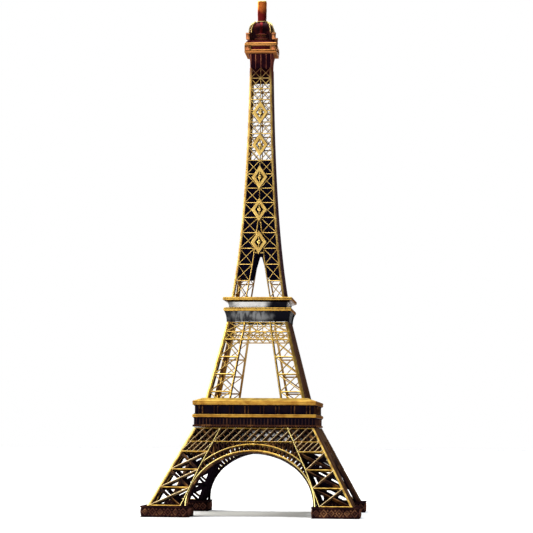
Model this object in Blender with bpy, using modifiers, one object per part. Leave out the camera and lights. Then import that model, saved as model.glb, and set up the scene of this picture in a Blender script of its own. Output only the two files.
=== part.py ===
"""A souvenir lattice tower, 250 mm tall, as a stack of castings.

Four feet carry four openwork side panels, mitred at the corners. A first platform, four
more panels, a second platform and a curved spire of four panels stand on them, with a
gallery, a cupola and a mast on top. The front faces -Y, and the origin is on the ground
under the middle of the tower.
"""

import math

import bmesh
import bpy
import numpy as np
from mathutils import Matrix, Vector

MM = 0.001

# Heights above the ground
TENON_BOTTOM = 3.6 * MM
FOOT_TOP = 5.2 * MM
LEG_FOOT = 5.4 * MM
ARCH_SPRING = 5.4 * MM
LEG_TOP = 30.0 * MM
FRIEZE_LOW = 34.6 * MM
FRIEZE_HIGH = 41.1 * MM
BAND_HIGH = 45.4 * MM
BELT_HIGH = 47.25 * MM
GALLERY_HIGH = 51.25 * MM
EAVES = 53.5 * MM
DECK_TOP = 54.9 * MM
MIDDLE_RAIL = 58.1 * MM
GIRDER_LOW = 83.0 * MM
GIRDER_HIGH = 86.7 * MM
MIDDLE_TOP = 91.4 * MM
SKIRT_HIGH = 96.1 * MM
LOWER_RING_HIGH = 98.15 * MM
NECK_HIGH = 100.6 * MM
SPIRE_FOOT = 103.1 * MM
CORE_FOOT = 113.0 * MM
SPLIT_TOP = 124.5 * MM
HEAD_FOOT = 209.5 * MM
SPIRE_NARROWS = 183.3 * MM
SPIRE_TOP = 215.8 * MM
HEAD_TOP = 222.55 * MM
WINDOW_LOW = 224.5 * MM
WINDOW_HIGH = 226.2 * MM
TOP_GALLERY_HIGH = 227.8 * MM
CUPOLA_FOOT = 229.5 * MM
CUPOLA_SHOULDER = 233.1 * MM
CUPOLA_TOP = 239.2 * MM
TOWER_TOP = 250.0 * MM

# Half widths
FOOT_OUTSIDE = 50.1 * MM
FOOT_SIZE = 22.2 * MM
TENON_INSIDE = 30.2 * MM
ARCH_HALF_SPAN = 28.6 * MM
ARCH_RISE = 24.1 * MM
ARCH_RING = 3.6 * MM
PLATFORM_1 = 29.2 * MM
COLLAR_1 = 27.2 * MM
PLATFORM_2 = 16.6 * MM
COLLAR_2 = 12.4 * MM
SKIRT = 14.8 * MM
NECK = 14.0 * MM
HEAD = 5.4 * MM
TOP_GALLERY = 8.0 * MM
WINDOW = 4.5 * MM
PLINTH = 7.4 * MM
CUPOLA = 5.5 * MM
CUPOLA_NECK = 2.4 * MM
MAST_WIDTH = 4.3 * MM

# The gap between the feet of the spire inside it, at its foot and its crown
CORE_GAP = 4.6 * MM
CORE_GAP_CROWN = 0.9 * MM

# Each stage's outer corner and inner chord, as (height, half width)
LOWER_OUTER = ((LEG_FOOT, 47.4 * MM), (FRIEZE_HIGH, 28.6 * MM))
LOWER_INNER = ((LEG_FOOT, 31.7 * MM), (21.8 * MM, 24.8 * MM), (FRIEZE_HIGH, 15.6 * MM))
MIDDLE_OUTER = ((DECK_TOP, 23.7 * MM), (MIDDLE_TOP, 14.8 * MM))
MIDDLE_INNER = ((DECK_TOP, 12.1 * MM), (MIDDLE_TOP, 6.0 * MM))
SPIRE_INNER = ((SPIRE_FOOT, 5.8 * MM), (119.4 * MM, 2.95 * MM), (146.0 * MM, 0.0))
SPIRE_SLIM = 4.6 * MM
SPIRE_FLARE = 8.3 * MM
SPIRE_FLARE_LENGTH = 51.0 * MM

# Metal
LOWER_THICK = 1.5 * MM
MIDDLE_THICK = 1.2 * MM
SPIRE_THICK = 0.8 * MM
CHORD = 1.9 * MM
SLIM_CHORD = 1.3 * MM
INNER_CHORD = 0.8 * MM
RAIL = 0.7 * MM
BRACE = 0.6 * MM
COLLAR_WALL = 1.4 * MM
ROLL = 0.4 * MM
EDGE = 0.5 * MM
TENON = 1.3 * MM
GALLERY_WALL = 1.1 * MM
BUTTRESS = 1.3 * MM
POST = 1.5 * MM
RIB = 0.8 * MM
GAP = 0.25 * MM
SEAM = 0.18 * MM
SMALLEST_HOLE = 0.5 * MM * MM
PAST = 1.0 * MM  # how far a cutter runs on past the metal
NEAR = 0.02 * MM

# Rows of bracing
LEG_ROWS = 3
FRIEZE_PITCH = 7.4 * MM
MIDDLE_ROWS = 3
SPIRE_LEG_ROWS = 3
SPIRE_LOWER_ROWS = 11
SPIRE_UPPER_ROWS = 6
SPIRE_ROW_SHRINK = 0.977
ARCH_STEPS = 24
ARCH_RIB = 1.2 * MM
SPOKE_TURNS = range(2, 62, 10)
SPANDREL_PITCH = 4.6 * MM
SPANDRELS = 5

ORNAMENTS = 5
ORNAMENT_LOW = 130.0 * MM
ORNAMENT_PITCH = 15.9 * MM
ORNAMENT_SIZE = (7.6 * MM, 10.4 * MM, 0.9 * MM)

GOLD = ("antique_gold", (0.62, 0.38, 0.11), 0.34)
DARK = ("blackened_bronze", (0.05, 0.035, 0.03), 0.42)
COPPER = ("copper_bronze", (0.55, 0.22, 0.08), 0.34)

SIDES = ("front", "right", "back", "left")
CORNERS = ("front_right", "back_right", "back_left", "front_left")


def clear_scene():
    for old in list(bpy.data.objects):
        bpy.data.objects.remove(old)


def collection(name):
    made = bpy.data.collections.new(name)
    bpy.context.scene.collection.children.link(made)
    return made


def material(kind):
    name, colour, roughness = kind
    found = bpy.data.materials.get(name)
    if found:
        return found
    made = bpy.data.materials.new(name)
    made.use_nodes = True
    shader = made.node_tree.nodes["Principled BSDF"]
    shader.inputs["Base Color"].default_value = (*colour, 1)
    shader.inputs["Metallic"].default_value = 1
    shader.inputs["Roughness"].default_value = roughness
    return made


def add_part(name, mesh, kind, turn=0.0):
    """A named sub-part, turned about the tower's axis."""
    part = bpy.data.objects.new(name, mesh)
    part.rotation_euler.z = turn
    TOWER.objects.link(part)
    if not mesh.materials:
        mesh.materials.append(material(kind))
    return part


def add_cutter(name, low, high, taper=(1, 1)):
    """A hidden box between two corners, to cut with, whose top may be narrower."""
    size = Vector(high) - Vector(low)
    middle = (Vector(high) + Vector(low)) / 2
    mesh = box_mesh(name, size, middle)
    for vertex in mesh.vertices:
        if vertex.co.z > middle.z:
            vertex.co.x *= taper[0]
            vertex.co.y *= taper[1]
    return hidden(bpy.data.objects.new(name, mesh))


def add_angle_cutter(name, near, reach, wide, heights, quarter):
    """A hidden L round one corner of the tower, to cut the sockets of two panels with."""
    back = reach - wide
    outline = ((near, -reach), (reach, -reach), (reach, -near), (back, -near), (back, -back), (near, -back))
    mesh = plate(name, outline, [], heights[1] - heights[0])
    cutter = hidden(bpy.data.objects.new(name, mesh))
    cutter.location.z = sum(heights) / 2
    cutter.rotation_euler.z = math.radians(90 * quarter)
    return cutter


def hidden(cutter):
    CUTTERS.objects.link(cutter)
    cutter.hide_render = True
    cutter.display_type = "WIRE"
    return cutter


def cut(part, cutter):
    boolean = part.modifiers.new(cutter.name, "BOOLEAN")
    boolean.operation = "DIFFERENCE"
    boolean.solver = "EXACT"
    boolean.object = cutter


def box_mesh(name, size, middle=(0, 0, 0)):
    bm = bmesh.new()
    bmesh.ops.create_cube(bm, size=1, matrix=Matrix.Translation(middle) @ Matrix.Diagonal((*size, 1)))
    mesh = bpy.data.meshes.new(name)
    bm.to_mesh(mesh)
    bm.free()
    return mesh


def square_turned(name, profile, kind, closed=False):
    """A square moulding: a profile of (half width, height), turned in four steps."""
    points = [(half * math.sqrt(2), 0, height) for half, height in profile]
    edges = [(i, i + 1) for i in range(len(points) - 1)]
    if closed:
        edges.append((len(points) - 1, 0))
    mesh = bpy.data.meshes.new(name)
    mesh.from_pydata(points, edges, [])
    part = add_part(name, mesh, kind, math.radians(45))
    screw = part.modifiers.new("turn", "SCREW")
    screw.steps = screw.render_steps = 4
    screw.use_merge_vertices = True
    screw.merge_threshold = 0.00001
    screw.use_smooth_shade = False
    return part


def height_at(profile, z):
    """A stage's half width at a height, straight between its points and on past its ends."""
    zs = [point[0] for point in profile]
    first = min(max(np.searchsorted(zs, z) - 1, 0), len(zs) - 2)
    (z0, half0), (z1, half1) = profile[first], profile[first + 1]
    return half0 + (half1 - half0) * (z - z0) / (z1 - z0)


def lower_outer(z):
    return height_at(LOWER_OUTER, z)


def lower_inner(z):
    return height_at(LOWER_INNER, z)


def middle_outer(z):
    return height_at(MIDDLE_OUTER, z)


def middle_inner(z):
    return height_at(MIDDLE_INNER, z)


def spire_outer(z):
    return SPIRE_SLIM + SPIRE_FLARE * math.exp((SPIRE_FOOT - z) / SPIRE_FLARE_LENGTH)


def spire_inner(z):
    return max(height_at(SPIRE_INNER, z), 0)


# Flat shapes, as convex polygons of 2D points that run anticlockwise


def area(cell):
    pairs = zip(cell, cell[1:] + cell[:1])
    return sum(a.x * b.y - b.x * a.y for a, b in pairs) / 2


def clip(cell, point, inward):
    """What lies of a polygon on the inward side of a line through the point."""
    kept = []
    for here, there in zip(cell, cell[1:] + cell[:1]):
        before, after = (here - point).dot(inward), (there - point).dot(inward)
        if before >= 0:
            kept.append(here)
        if before * after < 0:
            kept.append(here.lerp(there, before / (before - after)))
    return kept


def inset(cell, margins):
    """The polygon with each side moved in by its own margin."""
    shape = cell
    for start, end, margin in zip(cell, cell[1:] + cell[:1], margins):
        along = (end - start).normalized()
        inward = Vector((-along.y, along.x))
        shape = clip(shape, start + inward * margin, inward)
    return shape


def split(cells, start, end, width):
    """What a straight bar of that width leaves of each polygon, on either side of it."""
    along = (end - start).normalized()
    across = Vector((-along.y, along.x))
    pieces = []
    for cell in cells:
        for side in (across, -across):
            pieces.append(clip(cell, start + side * width / 2, side))
    return [piece for piece in pieces if area(piece) > SMALLEST_HOLE]


def bay(inner, outer, low, high):
    """The four corners of a bay on the right half, between two chords' centre lines."""
    corners = ((inner(low), low), (outer(low), low), (outer(high), high), (inner(high), high))
    return [Vector(corner) for corner in corners]


def cross_braced(corners, margins):
    """The four holes round an X in a bay."""
    holes = [inset(corners, margins)]
    holes = split(holes, corners[0], corners[2], BRACE)
    return split(holes, corners[1], corners[3], BRACE)


def both_halves(holes):
    """The holes and their mirror images on the left half."""
    return holes + [[Vector((-p.x, p.y)) for p in reversed(hole)] for hole in holes]


def diagonal_lattice(region, pitch, bar):
    """The holes that two crossing sets of bars at 45 degrees leave in a region."""
    low, high = min(p.y for p in region), max(p.y for p in region)
    reach = max(abs(p.x) for p in region) + (high - low)
    holes = [region]
    for step in range(int(-reach / pitch), int(reach / pitch) + 1):
        foot = Vector((step * pitch, low))
        for lean in (1, -1):
            holes = split(holes, foot, foot + Vector((lean, 1)), bar)
    return holes


def plate(name, outline, holes, thickness):
    """A flat openwork casting: a filled 2D curve, given its thickness and made a mesh."""
    curve = bpy.data.curves.new(name, "CURVE")
    curve.dimensions = "2D"
    curve.fill_mode = "BOTH"
    curve.extrude = thickness / 2
    for loop in [outline, *holes]:
        spline = curve.splines.new("POLY")
        spline.points.add(len(loop) - 1)
        spline.use_cyclic_u = True
        for point, place in zip(spline.points, loop):
            point.co = (place[0], place[1], 0, 1)
    flat = bpy.data.objects.new(name, curve)
    bpy.context.scene.collection.objects.link(flat)
    evaluated = flat.evaluated_get(bpy.context.evaluated_depsgraph_get())
    mesh = bpy.data.meshes.new_from_object(evaluated)
    bpy.data.objects.remove(flat)
    bm = bmesh.new()
    bm.from_mesh(mesh)
    bmesh.ops.remove_doubles(bm, verts=bm.verts, dist=0.01 * MM)
    bmesh.ops.recalc_face_normals(bm, faces=bm.faces)
    bm.to_mesh(mesh)
    bm.free()
    mesh.materials.clear()
    return mesh


def stand_up(mesh, face, thickness, edge):
    """Stands a flat plate on the front, its outside on face(z), and mitres its edges on edge(z)."""
    for vertex in mesh.vertices:
        x, z, depth = vertex.co.x, vertex.co.y, thickness / 2 - vertex.co.z
        if abs(abs(x) - edge(z)) < NEAR:
            x -= math.copysign(depth + SEAM, x)
        vertex.co = (x, depth - face(z), z)
    mesh.update()


def four_sides(name, mesh, kind):
    for quarter, side in enumerate(SIDES):
        add_part(f"{name}_{side}", mesh, kind, math.radians(90 * quarter))


def feet():
    """Four plinths, each with an L-shaped socket that the feet of two panels stand in."""
    reach = lower_outer(TENON_BOTTOM) + GAP
    wide = reach - (lower_outer(FOOT_TOP) - LOWER_THICK - GAP)
    heights = TENON_BOTTOM - GAP, FOOT_TOP + PAST
    middle = FOOT_OUTSIDE - FOOT_SIZE / 2
    mesh = box_mesh("foot", (FOOT_SIZE, FOOT_SIZE, FOOT_TOP), (middle, -middle, FOOT_TOP / 2))
    for quarter, corner in enumerate(CORNERS):
        foot = add_part(f"foot_{corner}", mesh, DARK, math.radians(90 * quarter))
        edge = foot.modifiers.new("edges", "BEVEL")
        edge.width = EDGE
        edge.segments = 1
        socket = (TENON_INSIDE - GAP, reach, wide, heights, quarter)
        cut(foot, add_angle_cutter(f"foot_socket_{corner}", *socket))


def arch_point(angle, grow=0.0):
    """A point of the arch, at an angle from its crown, grown outwards."""
    x = (ARCH_HALF_SPAN + grow) * math.sin(angle)
    z = ARCH_SPRING + (ARCH_RISE + grow) * math.cos(angle)
    return Vector((x, z))


def arch_height(x, grow):
    return ARCH_SPRING + (ARCH_RISE + grow) * math.sqrt(1 - (x / (ARCH_HALF_SPAN + grow)) ** 2)


def lower_panels():
    """Side panels with two legs, an arch between them and a latticed frieze above."""
    arch = [arch_point(math.radians(-90 + 180 * i / ARCH_STEPS)) for i in range(ARCH_STEPS + 1)]
    outline = [
        (TENON_INSIDE, LEG_FOOT),
        (TENON_INSIDE, TENON_BOTTOM),
        (lower_outer(TENON_BOTTOM), TENON_BOTTOM),
        (lower_outer(FRIEZE_HIGH), FRIEZE_HIGH),
        (-lower_outer(FRIEZE_HIGH), FRIEZE_HIGH),
        (-lower_outer(TENON_BOTTOM), TENON_BOTTOM),
        (-TENON_INSIDE, TENON_BOTTOM),
        (-TENON_INSIDE, LEG_FOOT),
        *arch,
    ]
    right = []
    levels = np.linspace(LEG_FOOT, LEG_TOP, LEG_ROWS + 1).tolist() + [FRIEZE_LOW]
    for low, high in zip(levels, levels[1:]):
        corners = bay(lower_inner, lambda z: lower_outer(z) - CHORD / 2, low, high)
        right += cross_braced(corners, (RAIL / 2, CHORD / 2, RAIL / 2, INNER_CHORD / 2))

    # between the arch's ring and the legs' inner chords
    chord_foot = Vector((lower_inner(LEG_TOP) - INNER_CHORD / 2, LEG_TOP))
    chord_lean = Vector((lower_inner(FRIEZE_LOW) - lower_inner(LEG_TOP), FRIEZE_LOW - LEG_TOP))
    chord_inside = Vector((-chord_lean.y, chord_lean.x)).normalized()
    posts = [step * SPANDREL_PITCH for step in range(SPANDRELS + 1)]
    for near, far in zip(posts, posts[1:]):
        near, far = near + BRACE / 2, far - BRACE / 2
        low = [(x, arch_height(x, ARCH_RING + RAIL)) for x in (near, far)]
        high = [(far, FRIEZE_LOW - RAIL / 2), (near, FRIEZE_LOW - RAIL / 2)]
        spandrel = clip([Vector(p) for p in low + high], chord_foot, chord_inside)
        if high[0][1] - low[1][1] > BRACE and area(spandrel) > SMALLEST_HOLE:
            right.append(spandrel)

    # the arch's own ring
    turns = [math.radians(step) for step in SPOKE_TURNS]
    for near, far in zip(turns, turns[1:]):
        far -= BRACE / ARCH_HALF_SPAN
        cell = [arch_point(far, ARCH_RIB), arch_point(far, ARCH_RING)]
        cell += [arch_point(near, ARCH_RING), arch_point(near, ARCH_RIB)]
        cell = clip(cell, chord_foot, chord_inside)
        if area(cell) > SMALLEST_HOLE:
            right.append(cell)

    chord = lower_outer(FRIEZE_LOW) - CHORD, lower_outer(FRIEZE_HIGH) - CHORD
    low, high = FRIEZE_LOW + RAIL / 2, FRIEZE_HIGH - RAIL
    frieze = [Vector(p) for p in ((-chord[0], low), (chord[0], low), (chord[1], high), (-chord[1], high))]
    holes = diagonal_lattice(frieze, FRIEZE_PITCH, BRACE)
    for side in (1, -1):
        foot = Vector((side * lower_inner(FRIEZE_LOW), FRIEZE_LOW))
        top = Vector((side * lower_inner(FRIEZE_HIGH), FRIEZE_HIGH))
        holes = split(holes, foot, top, INNER_CHORD)
    mesh = plate("lower_panel", outline, holes + both_halves(right), LOWER_THICK)
    stand_up(mesh, lower_outer, LOWER_THICK, lower_outer)
    four_sides("lower_panel", mesh, GOLD)


def leg_webs():
    """The inner two faces of each leg: flat lattices, mitred where they meet."""
    thickness = MIDDLE_THICK

    def reach(z):
        return lower_outer(z) - LOWER_THICK - GAP

    rows = np.linspace(LEG_FOOT, LEG_TOP, LEG_ROWS + 1).tolist()
    levels = [FOOT_TOP + GAP, *rows[1:], FRIEZE_LOW]
    outline = [(reach(levels[0]), levels[0]), (reach(levels[-1]), levels[-1])]
    outline += [(lower_inner(z), z) for z in reversed(levels)]
    holes = []
    margins = (RAIL / 2, INNER_CHORD, RAIL / 2, thickness + INNER_CHORD / 2)
    for low, high in zip(levels, levels[1:]):
        holes += cross_braced(bay(lower_inner, reach, low, high), margins)
    for hand, suffix in ((1, "a"), (-1, "b")):
        shape = [(hand * x, z) for x, z in outline][::hand]
        turned = [[Vector((hand * p.x, p.y)) for p in hole][::hand] for hole in holes]
        mesh = plate(f"lower_web_{suffix}", shape, turned, thickness)
        for vertex in mesh.vertices:
            x, z, depth = vertex.co.x, vertex.co.y, thickness / 2 - vertex.co.z
            if abs(abs(x) - lower_inner(z)) < NEAR:
                x += math.copysign(thickness - depth + SEAM, x)
            vertex.co = (x, depth - lower_inner(z) - thickness, z)
        for quarter in range(4):
            corner = CORNERS[quarter if hand == 1 else quarter - 1]
            add_part(f"lower_web_{corner}_{suffix}", mesh, DARK, math.radians(90 * quarter))


def first_platform():
    """A collar with a band round it, a belt and a gallery slipped over it, and a deck."""
    inside = COLLAR_1 - COLLAR_WALL
    foot = FRIEZE_HIGH + GAP
    band = (
        (COLLAR_1, GALLERY_HIGH),
        (COLLAR_1, BAND_HIGH),
        (PLATFORM_1 - ROLL, BAND_HIGH),
        (PLATFORM_1 - 2 * ROLL, foot + 2 * ROLL),
        (PLATFORM_1 - ROLL, foot + 2 * ROLL),
        (PLATFORM_1 - ROLL, foot),
        (inside, foot),
        (inside, GALLERY_HIGH),
    )
    square_turned("first_platform_band", band, DARK, closed=True)
    over = COLLAR_1 + GAP
    low, high = BAND_HIGH + GAP, BELT_HIGH
    belt = ((over, high), (PLATFORM_1 - ROLL, high), (PLATFORM_1, high - ROLL))
    belt += ((PLATFORM_1, low + ROLL), (PLATFORM_1 - ROLL, low), (over, low))
    square_turned("first_platform_belt", belt, GOLD, closed=True)
    low, high = BELT_HIGH + GAP, GALLERY_HIGH
    wall = ((over, high), (PLATFORM_1 - 2 * ROLL, high), (PLATFORM_1 - 2 * ROLL, low), (over, low))
    square_turned("first_platform_gallery", wall, DARK, closed=True)
    low = GALLERY_HIGH + GAP
    boss = inside - GAP
    deck = (
        (0, DECK_TOP),
        (middle_outer(DECK_TOP) + MIDDLE_THICK, DECK_TOP),
        (PLATFORM_1, EAVES),
        (PLATFORM_1, low),
        (boss, low),
        (boss, low - TENON),
        (0, low - TENON),
    )
    part = square_turned("first_platform_deck", deck, GOLD)
    outer, inner = middle_outer(DECK_TOP), middle_inner(DECK_TOP)
    cut_leg_sockets(part, outer, inner, MIDDLE_THICK, DECK_TOP)

    # a dark frame behind the frieze, parallel to the panels
    back = LOWER_THICK + GAP
    low, high = FRIEZE_LOW + GAP, FRIEZE_HIGH
    frame = (
        (lower_outer(high) - back, high),
        (lower_outer(low) - back, low),
        (lower_outer(low) - back - SPIRE_THICK, low),
        (lower_outer(high) - back - SPIRE_THICK, high),
    )
    square_turned("frieze_backing_frame", frame, DARK, closed=True)


def cut_leg_sockets(deck, outer, inner, thickness, top):
    """An L-shaped slot at each corner of a deck, that the feet of two panels stand in."""
    reach, wide = outer + EDGE, thickness + 2 * EDGE
    heights = top - TENON - GAP, top + PAST
    for quarter, corner in enumerate(CORNERS):
        name = f"{deck.name}_socket_{corner}"
        cut(deck, add_angle_cutter(name, inner - 2 * EDGE, reach, wide, heights, quarter))


def middle_panels():
    """Side panels with two legs, joined by a girder and a braced band under the platform."""
    foot = DECK_TOP - TENON
    near = middle_inner(foot) - INNER_CHORD / 2
    under = middle_inner(GIRDER_LOW) - INNER_CHORD / 2
    right = [(near, foot), (middle_outer(foot), foot), (middle_outer(MIDDLE_TOP), MIDDLE_TOP)]
    left = [(-x, z) for x, z in reversed(right)]
    notch = [(-under, GIRDER_LOW - RAIL / 2), (under, GIRDER_LOW - RAIL / 2)]
    outline = right + left + notch

    def chord(z):
        return middle_outer(z) - CHORD / 2

    levels = np.linspace(MIDDLE_RAIL, GIRDER_LOW, MIDDLE_ROWS + 1).tolist()
    margins = (RAIL / 2, CHORD / 2, RAIL / 2, INNER_CHORD / 2)
    holes = []
    for low, high in zip(levels, levels[1:]):
        holes += cross_braced(bay(middle_inner, chord, low, high), margins)
    sunk = cross_braced(bay(middle_inner, chord, 2 * MIDDLE_RAIL - levels[1], MIDDLE_RAIL), margins)
    sunk = [clip(hole, Vector((0, DECK_TOP + GAP)), Vector((0, 1))) for hole in sunk]
    holes += [hole for hole in sunk if len(hole) > 2 and area(hole) > SMALLEST_HOLE]
    top = MIDDLE_TOP - RAIL / 2
    half_margins = (RAIL / 2, INNER_CHORD / 2, RAIL / 2, BRACE / 2)
    holes.append(inset(bay(middle_inner, chord, GIRDER_LOW, GIRDER_HIGH), margins))
    holes.append(inset(bay(lambda z: 0, middle_inner, GIRDER_LOW, GIRDER_HIGH), half_margins))
    holes += cross_braced(bay(middle_inner, chord, GIRDER_HIGH, top), margins)
    holes += cross_braced(bay(lambda z: 0, middle_inner, GIRDER_HIGH, top), half_margins)
    mesh = plate("middle_panel", outline, both_halves(holes), MIDDLE_THICK)
    stand_up(mesh, middle_outer, MIDDLE_THICK, middle_outer)
    four_sides("middle_panel", mesh, GOLD)


def second_platform():
    """A coved skirt with a collar, a ring and a neck slipped over it, and a deck."""
    inside = COLLAR_2 - COLLAR_WALL
    foot = MIDDLE_TOP + GAP
    lip = middle_outer(MIDDLE_TOP) - MIDDLE_THICK - 2 * GAP
    skirt = [
        (lip, foot),
        (lip, foot - COLLAR_WALL),
        (inside, foot - COLLAR_WALL),
        (inside, NECK_HIGH),
        (COLLAR_2, NECK_HIGH),
        (COLLAR_2, SKIRT_HIGH),
    ]
    rise = PLATFORM_2 - EDGE - SKIRT
    for share in np.linspace(1, 0, 4).tolist():
        skirt.append((SKIRT + rise * share**2, foot + (SKIRT_HIGH - foot) * share))
    square_turned("second_platform_skirt", skirt, DARK, closed=True)
    over = COLLAR_2 + GAP
    low, high, out = SKIRT_HIGH + GAP, LOWER_RING_HIGH, PLATFORM_2 - GAP
    ring = ((over, high), (out - ROLL, high), (out, high - ROLL))
    ring += ((out, low + ROLL), (out - ROLL, low), (over, low))
    square_turned("second_platform_ring", ring, GOLD, closed=True)
    low, high = LOWER_RING_HIGH + GAP, NECK_HIGH
    neck = ((over, high), (NECK + ROLL, high), (NECK, low), (over, low))
    square_turned("second_platform_neck", neck, DARK, closed=True)
    low = NECK_HIGH + GAP
    drip = PLATFORM_2 - TENON - ROLL
    deck = (
        (0, SPIRE_FOOT),
        (PLATFORM_2 - EDGE, SPIRE_FOOT),
        (PLATFORM_2, SPIRE_FOOT - EDGE),
        (PLATFORM_2, SPIRE_FOOT - TENON),
        (drip, low),
        (0, low),
    )
    part = square_turned("second_platform_deck", deck, GOLD)
    cut_leg_sockets(part, spire_outer(SPIRE_FOOT), spire_inner(SPIRE_FOOT), SPIRE_THICK, SPIRE_FOOT)


def rows_between(low, high, rows):
    """Heights from low to high: each row is a little lower than the one below."""
    shares = [SPIRE_ROW_SHRINK**row for row in range(rows)]
    return [low + (high - low) * sum(shares[:row]) / sum(shares) for row in range(rows)]


def spire_levels():
    """The heights of the spire's rails, for the legs and then every second one."""
    levels = rows_between(SPIRE_FOOT, SPIRE_NARROWS, SPIRE_LOWER_ROWS)
    levels += rows_between(SPIRE_NARROWS, SPIRE_TOP, SPIRE_UPPER_ROWS)
    levels.append(SPIRE_TOP)
    return levels[:SPIRE_LEG_ROWS] + levels[SPIRE_LEG_ROWS::2]


def spire_panels():
    """Curved side panels: two legs at the foot that close up into one lattice."""
    levels = spire_levels()
    foot = SPIRE_FOOT - TENON
    right = [(spire_outer(z), z) for z in [foot, *levels]]
    left = [(-x, z) for x, z in reversed(right)]
    inner = INNER_CHORD / 2
    bends = [foot, SPIRE_INNER[1][0], SPLIT_TOP]
    notch = [(-spire_inner(z) + inner, z) for z in bends]
    notch += [(spire_inner(z) - inner, z) for z in reversed(bends)]
    outline = right + left + notch

    def chord(z):
        return spire_outer(z) - SLIM_CHORD / 2

    margins = (RAIL / 2, SLIM_CHORD / 2, RAIL / 2, inner)
    holes = []
    for row, (low, high) in enumerate(zip(levels, levels[1:])):
        if row < SPIRE_LEG_ROWS:
            holes += both_halves(cross_braced(bay(spire_inner, chord, low, high), margins))
        else:
            corners = bay(lambda z: -chord(z), chord, low, high)
            holes += cross_braced(corners, (RAIL / 2, SLIM_CHORD / 2, RAIL / 2, SLIM_CHORD / 2))
    mesh = plate("spire_panel", outline, holes, SPIRE_THICK)
    stand_up(mesh, spire_outer, SPIRE_THICK, spire_outer)
    four_sides("spire_panel", mesh, GOLD)


def spire_cores():
    """A dark block inside the spire that the panels are fixed to, and the fluted head."""
    back = SPIRE_THICK + 2 * GAP
    core_top = spire_levels()[SPIRE_LEG_ROWS + 3]
    heights = np.linspace(core_top, CORE_FOOT, 7).tolist()
    profile = [(0, core_top), *((spire_outer(z) - back, z) for z in heights), (0, CORE_FOOT)]
    core = square_turned("spire_core", profile, DARK)
    foot = CORE_FOOT - PAST
    reach = spire_outer(foot)
    taper = (CORE_GAP_CROWN / CORE_GAP, 1)
    low, high = (-CORE_GAP, -reach, foot), (CORE_GAP, reach, SPLIT_TOP)
    cut(core, add_cutter("core_split_y", low, high, taper))
    low, high = (-reach, -CORE_GAP, foot), (reach, CORE_GAP, SPLIT_TOP)
    cut(core, add_cutter("core_split_x", low, high, taper[::-1]))

    plug = spire_outer(SPIRE_TOP) - back
    neck = SPIRE_TOP + GAP
    flare = [(HEAD + RIB * share**2, neck + (HEAD_TOP - neck) * share) for share in (1, 0.6, 0)]
    head = ((0, HEAD_TOP), *flare, (plug, neck), (plug, HEAD_FOOT), (0, HEAD_FOOT))
    square_turned("spire_head", head, DARK)


def ornaments():
    """A column of raised lozenges on the front of the spire."""
    width, tall, thick = ORNAMENT_SIZE
    for number in range(ORNAMENTS):
        z = ORNAMENT_LOW + ORNAMENT_PITCH * number
        half = tall / 2
        lean = math.atan((spire_outer(z - half) - spire_outer(z + half)) / tall)
        stand = max(spire_outer(z), (spire_outer(z - half) + spire_outer(z + half)) / 2)
        bm = bmesh.new()
        bmesh.ops.create_cone(
            bm, cap_ends=True, segments=4, radius1=half, radius2=half * 0.72, depth=thick
        )
        bmesh.ops.scale(bm, vec=(width / tall, 1, 1), verts=bm.verts)
        upright = Matrix.Rotation(math.radians(90) - lean, 4, "X")
        place = Matrix.Translation((0, -stand - GAP - thick / 2, z))
        bmesh.ops.transform(bm, matrix=place @ upright, verts=bm.verts)
        mesh = bpy.data.meshes.new("ornament")
        bm.to_mesh(mesh)
        bm.free()
        add_part(f"front_ornament_{number + 1}", mesh, GOLD)


def top_gallery():
    """A square frame with a window in each side, round the plinth of the cupola."""
    low, inside = HEAD_TOP + GAP, TOP_GALLERY - GALLERY_WALL
    frame = (
        (inside, TOP_GALLERY_HIGH),
        (TOP_GALLERY - GAP, TOP_GALLERY_HIGH),
        (TOP_GALLERY, TOP_GALLERY_HIGH - GAP),
        (TOP_GALLERY, low + GAP),
        (TOP_GALLERY - GAP, low),
        (inside, low),
    )
    part = square_turned("top_gallery", frame, COPPER, closed=True)
    reach = TOP_GALLERY + PAST
    for name, x, y in (("window_x", reach, WINDOW), ("window_y", WINDOW, reach)):
        cut(part, add_cutter(name, (-x, -y, WINDOW_LOW), (x, y, WINDOW_HIGH)))
    room = inside - GAP
    plinth = (
        (0, CUPOLA_FOOT - GAP),
        (PLINTH, CUPOLA_FOOT - GAP),
        (PLINTH, TOP_GALLERY_HIGH + GAP),
        (room, TOP_GALLERY_HIGH + GAP),
        (room, HEAD_TOP + GAP),
        (0, HEAD_TOP + GAP),
    )
    square_turned("cupola_plinth", plinth, DARK)


def cupola_half(z):
    """The cupola's half width at a height: upright walls under a rounded vault."""
    rise = max(z - CUPOLA_SHOULDER, 0) / (CUPOLA_TOP - CUPOLA_SHOULDER)
    return CUPOLA_NECK + (CUPOLA - CUPOLA_NECK) * math.sqrt(max(1 - rise**2, 0))


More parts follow.
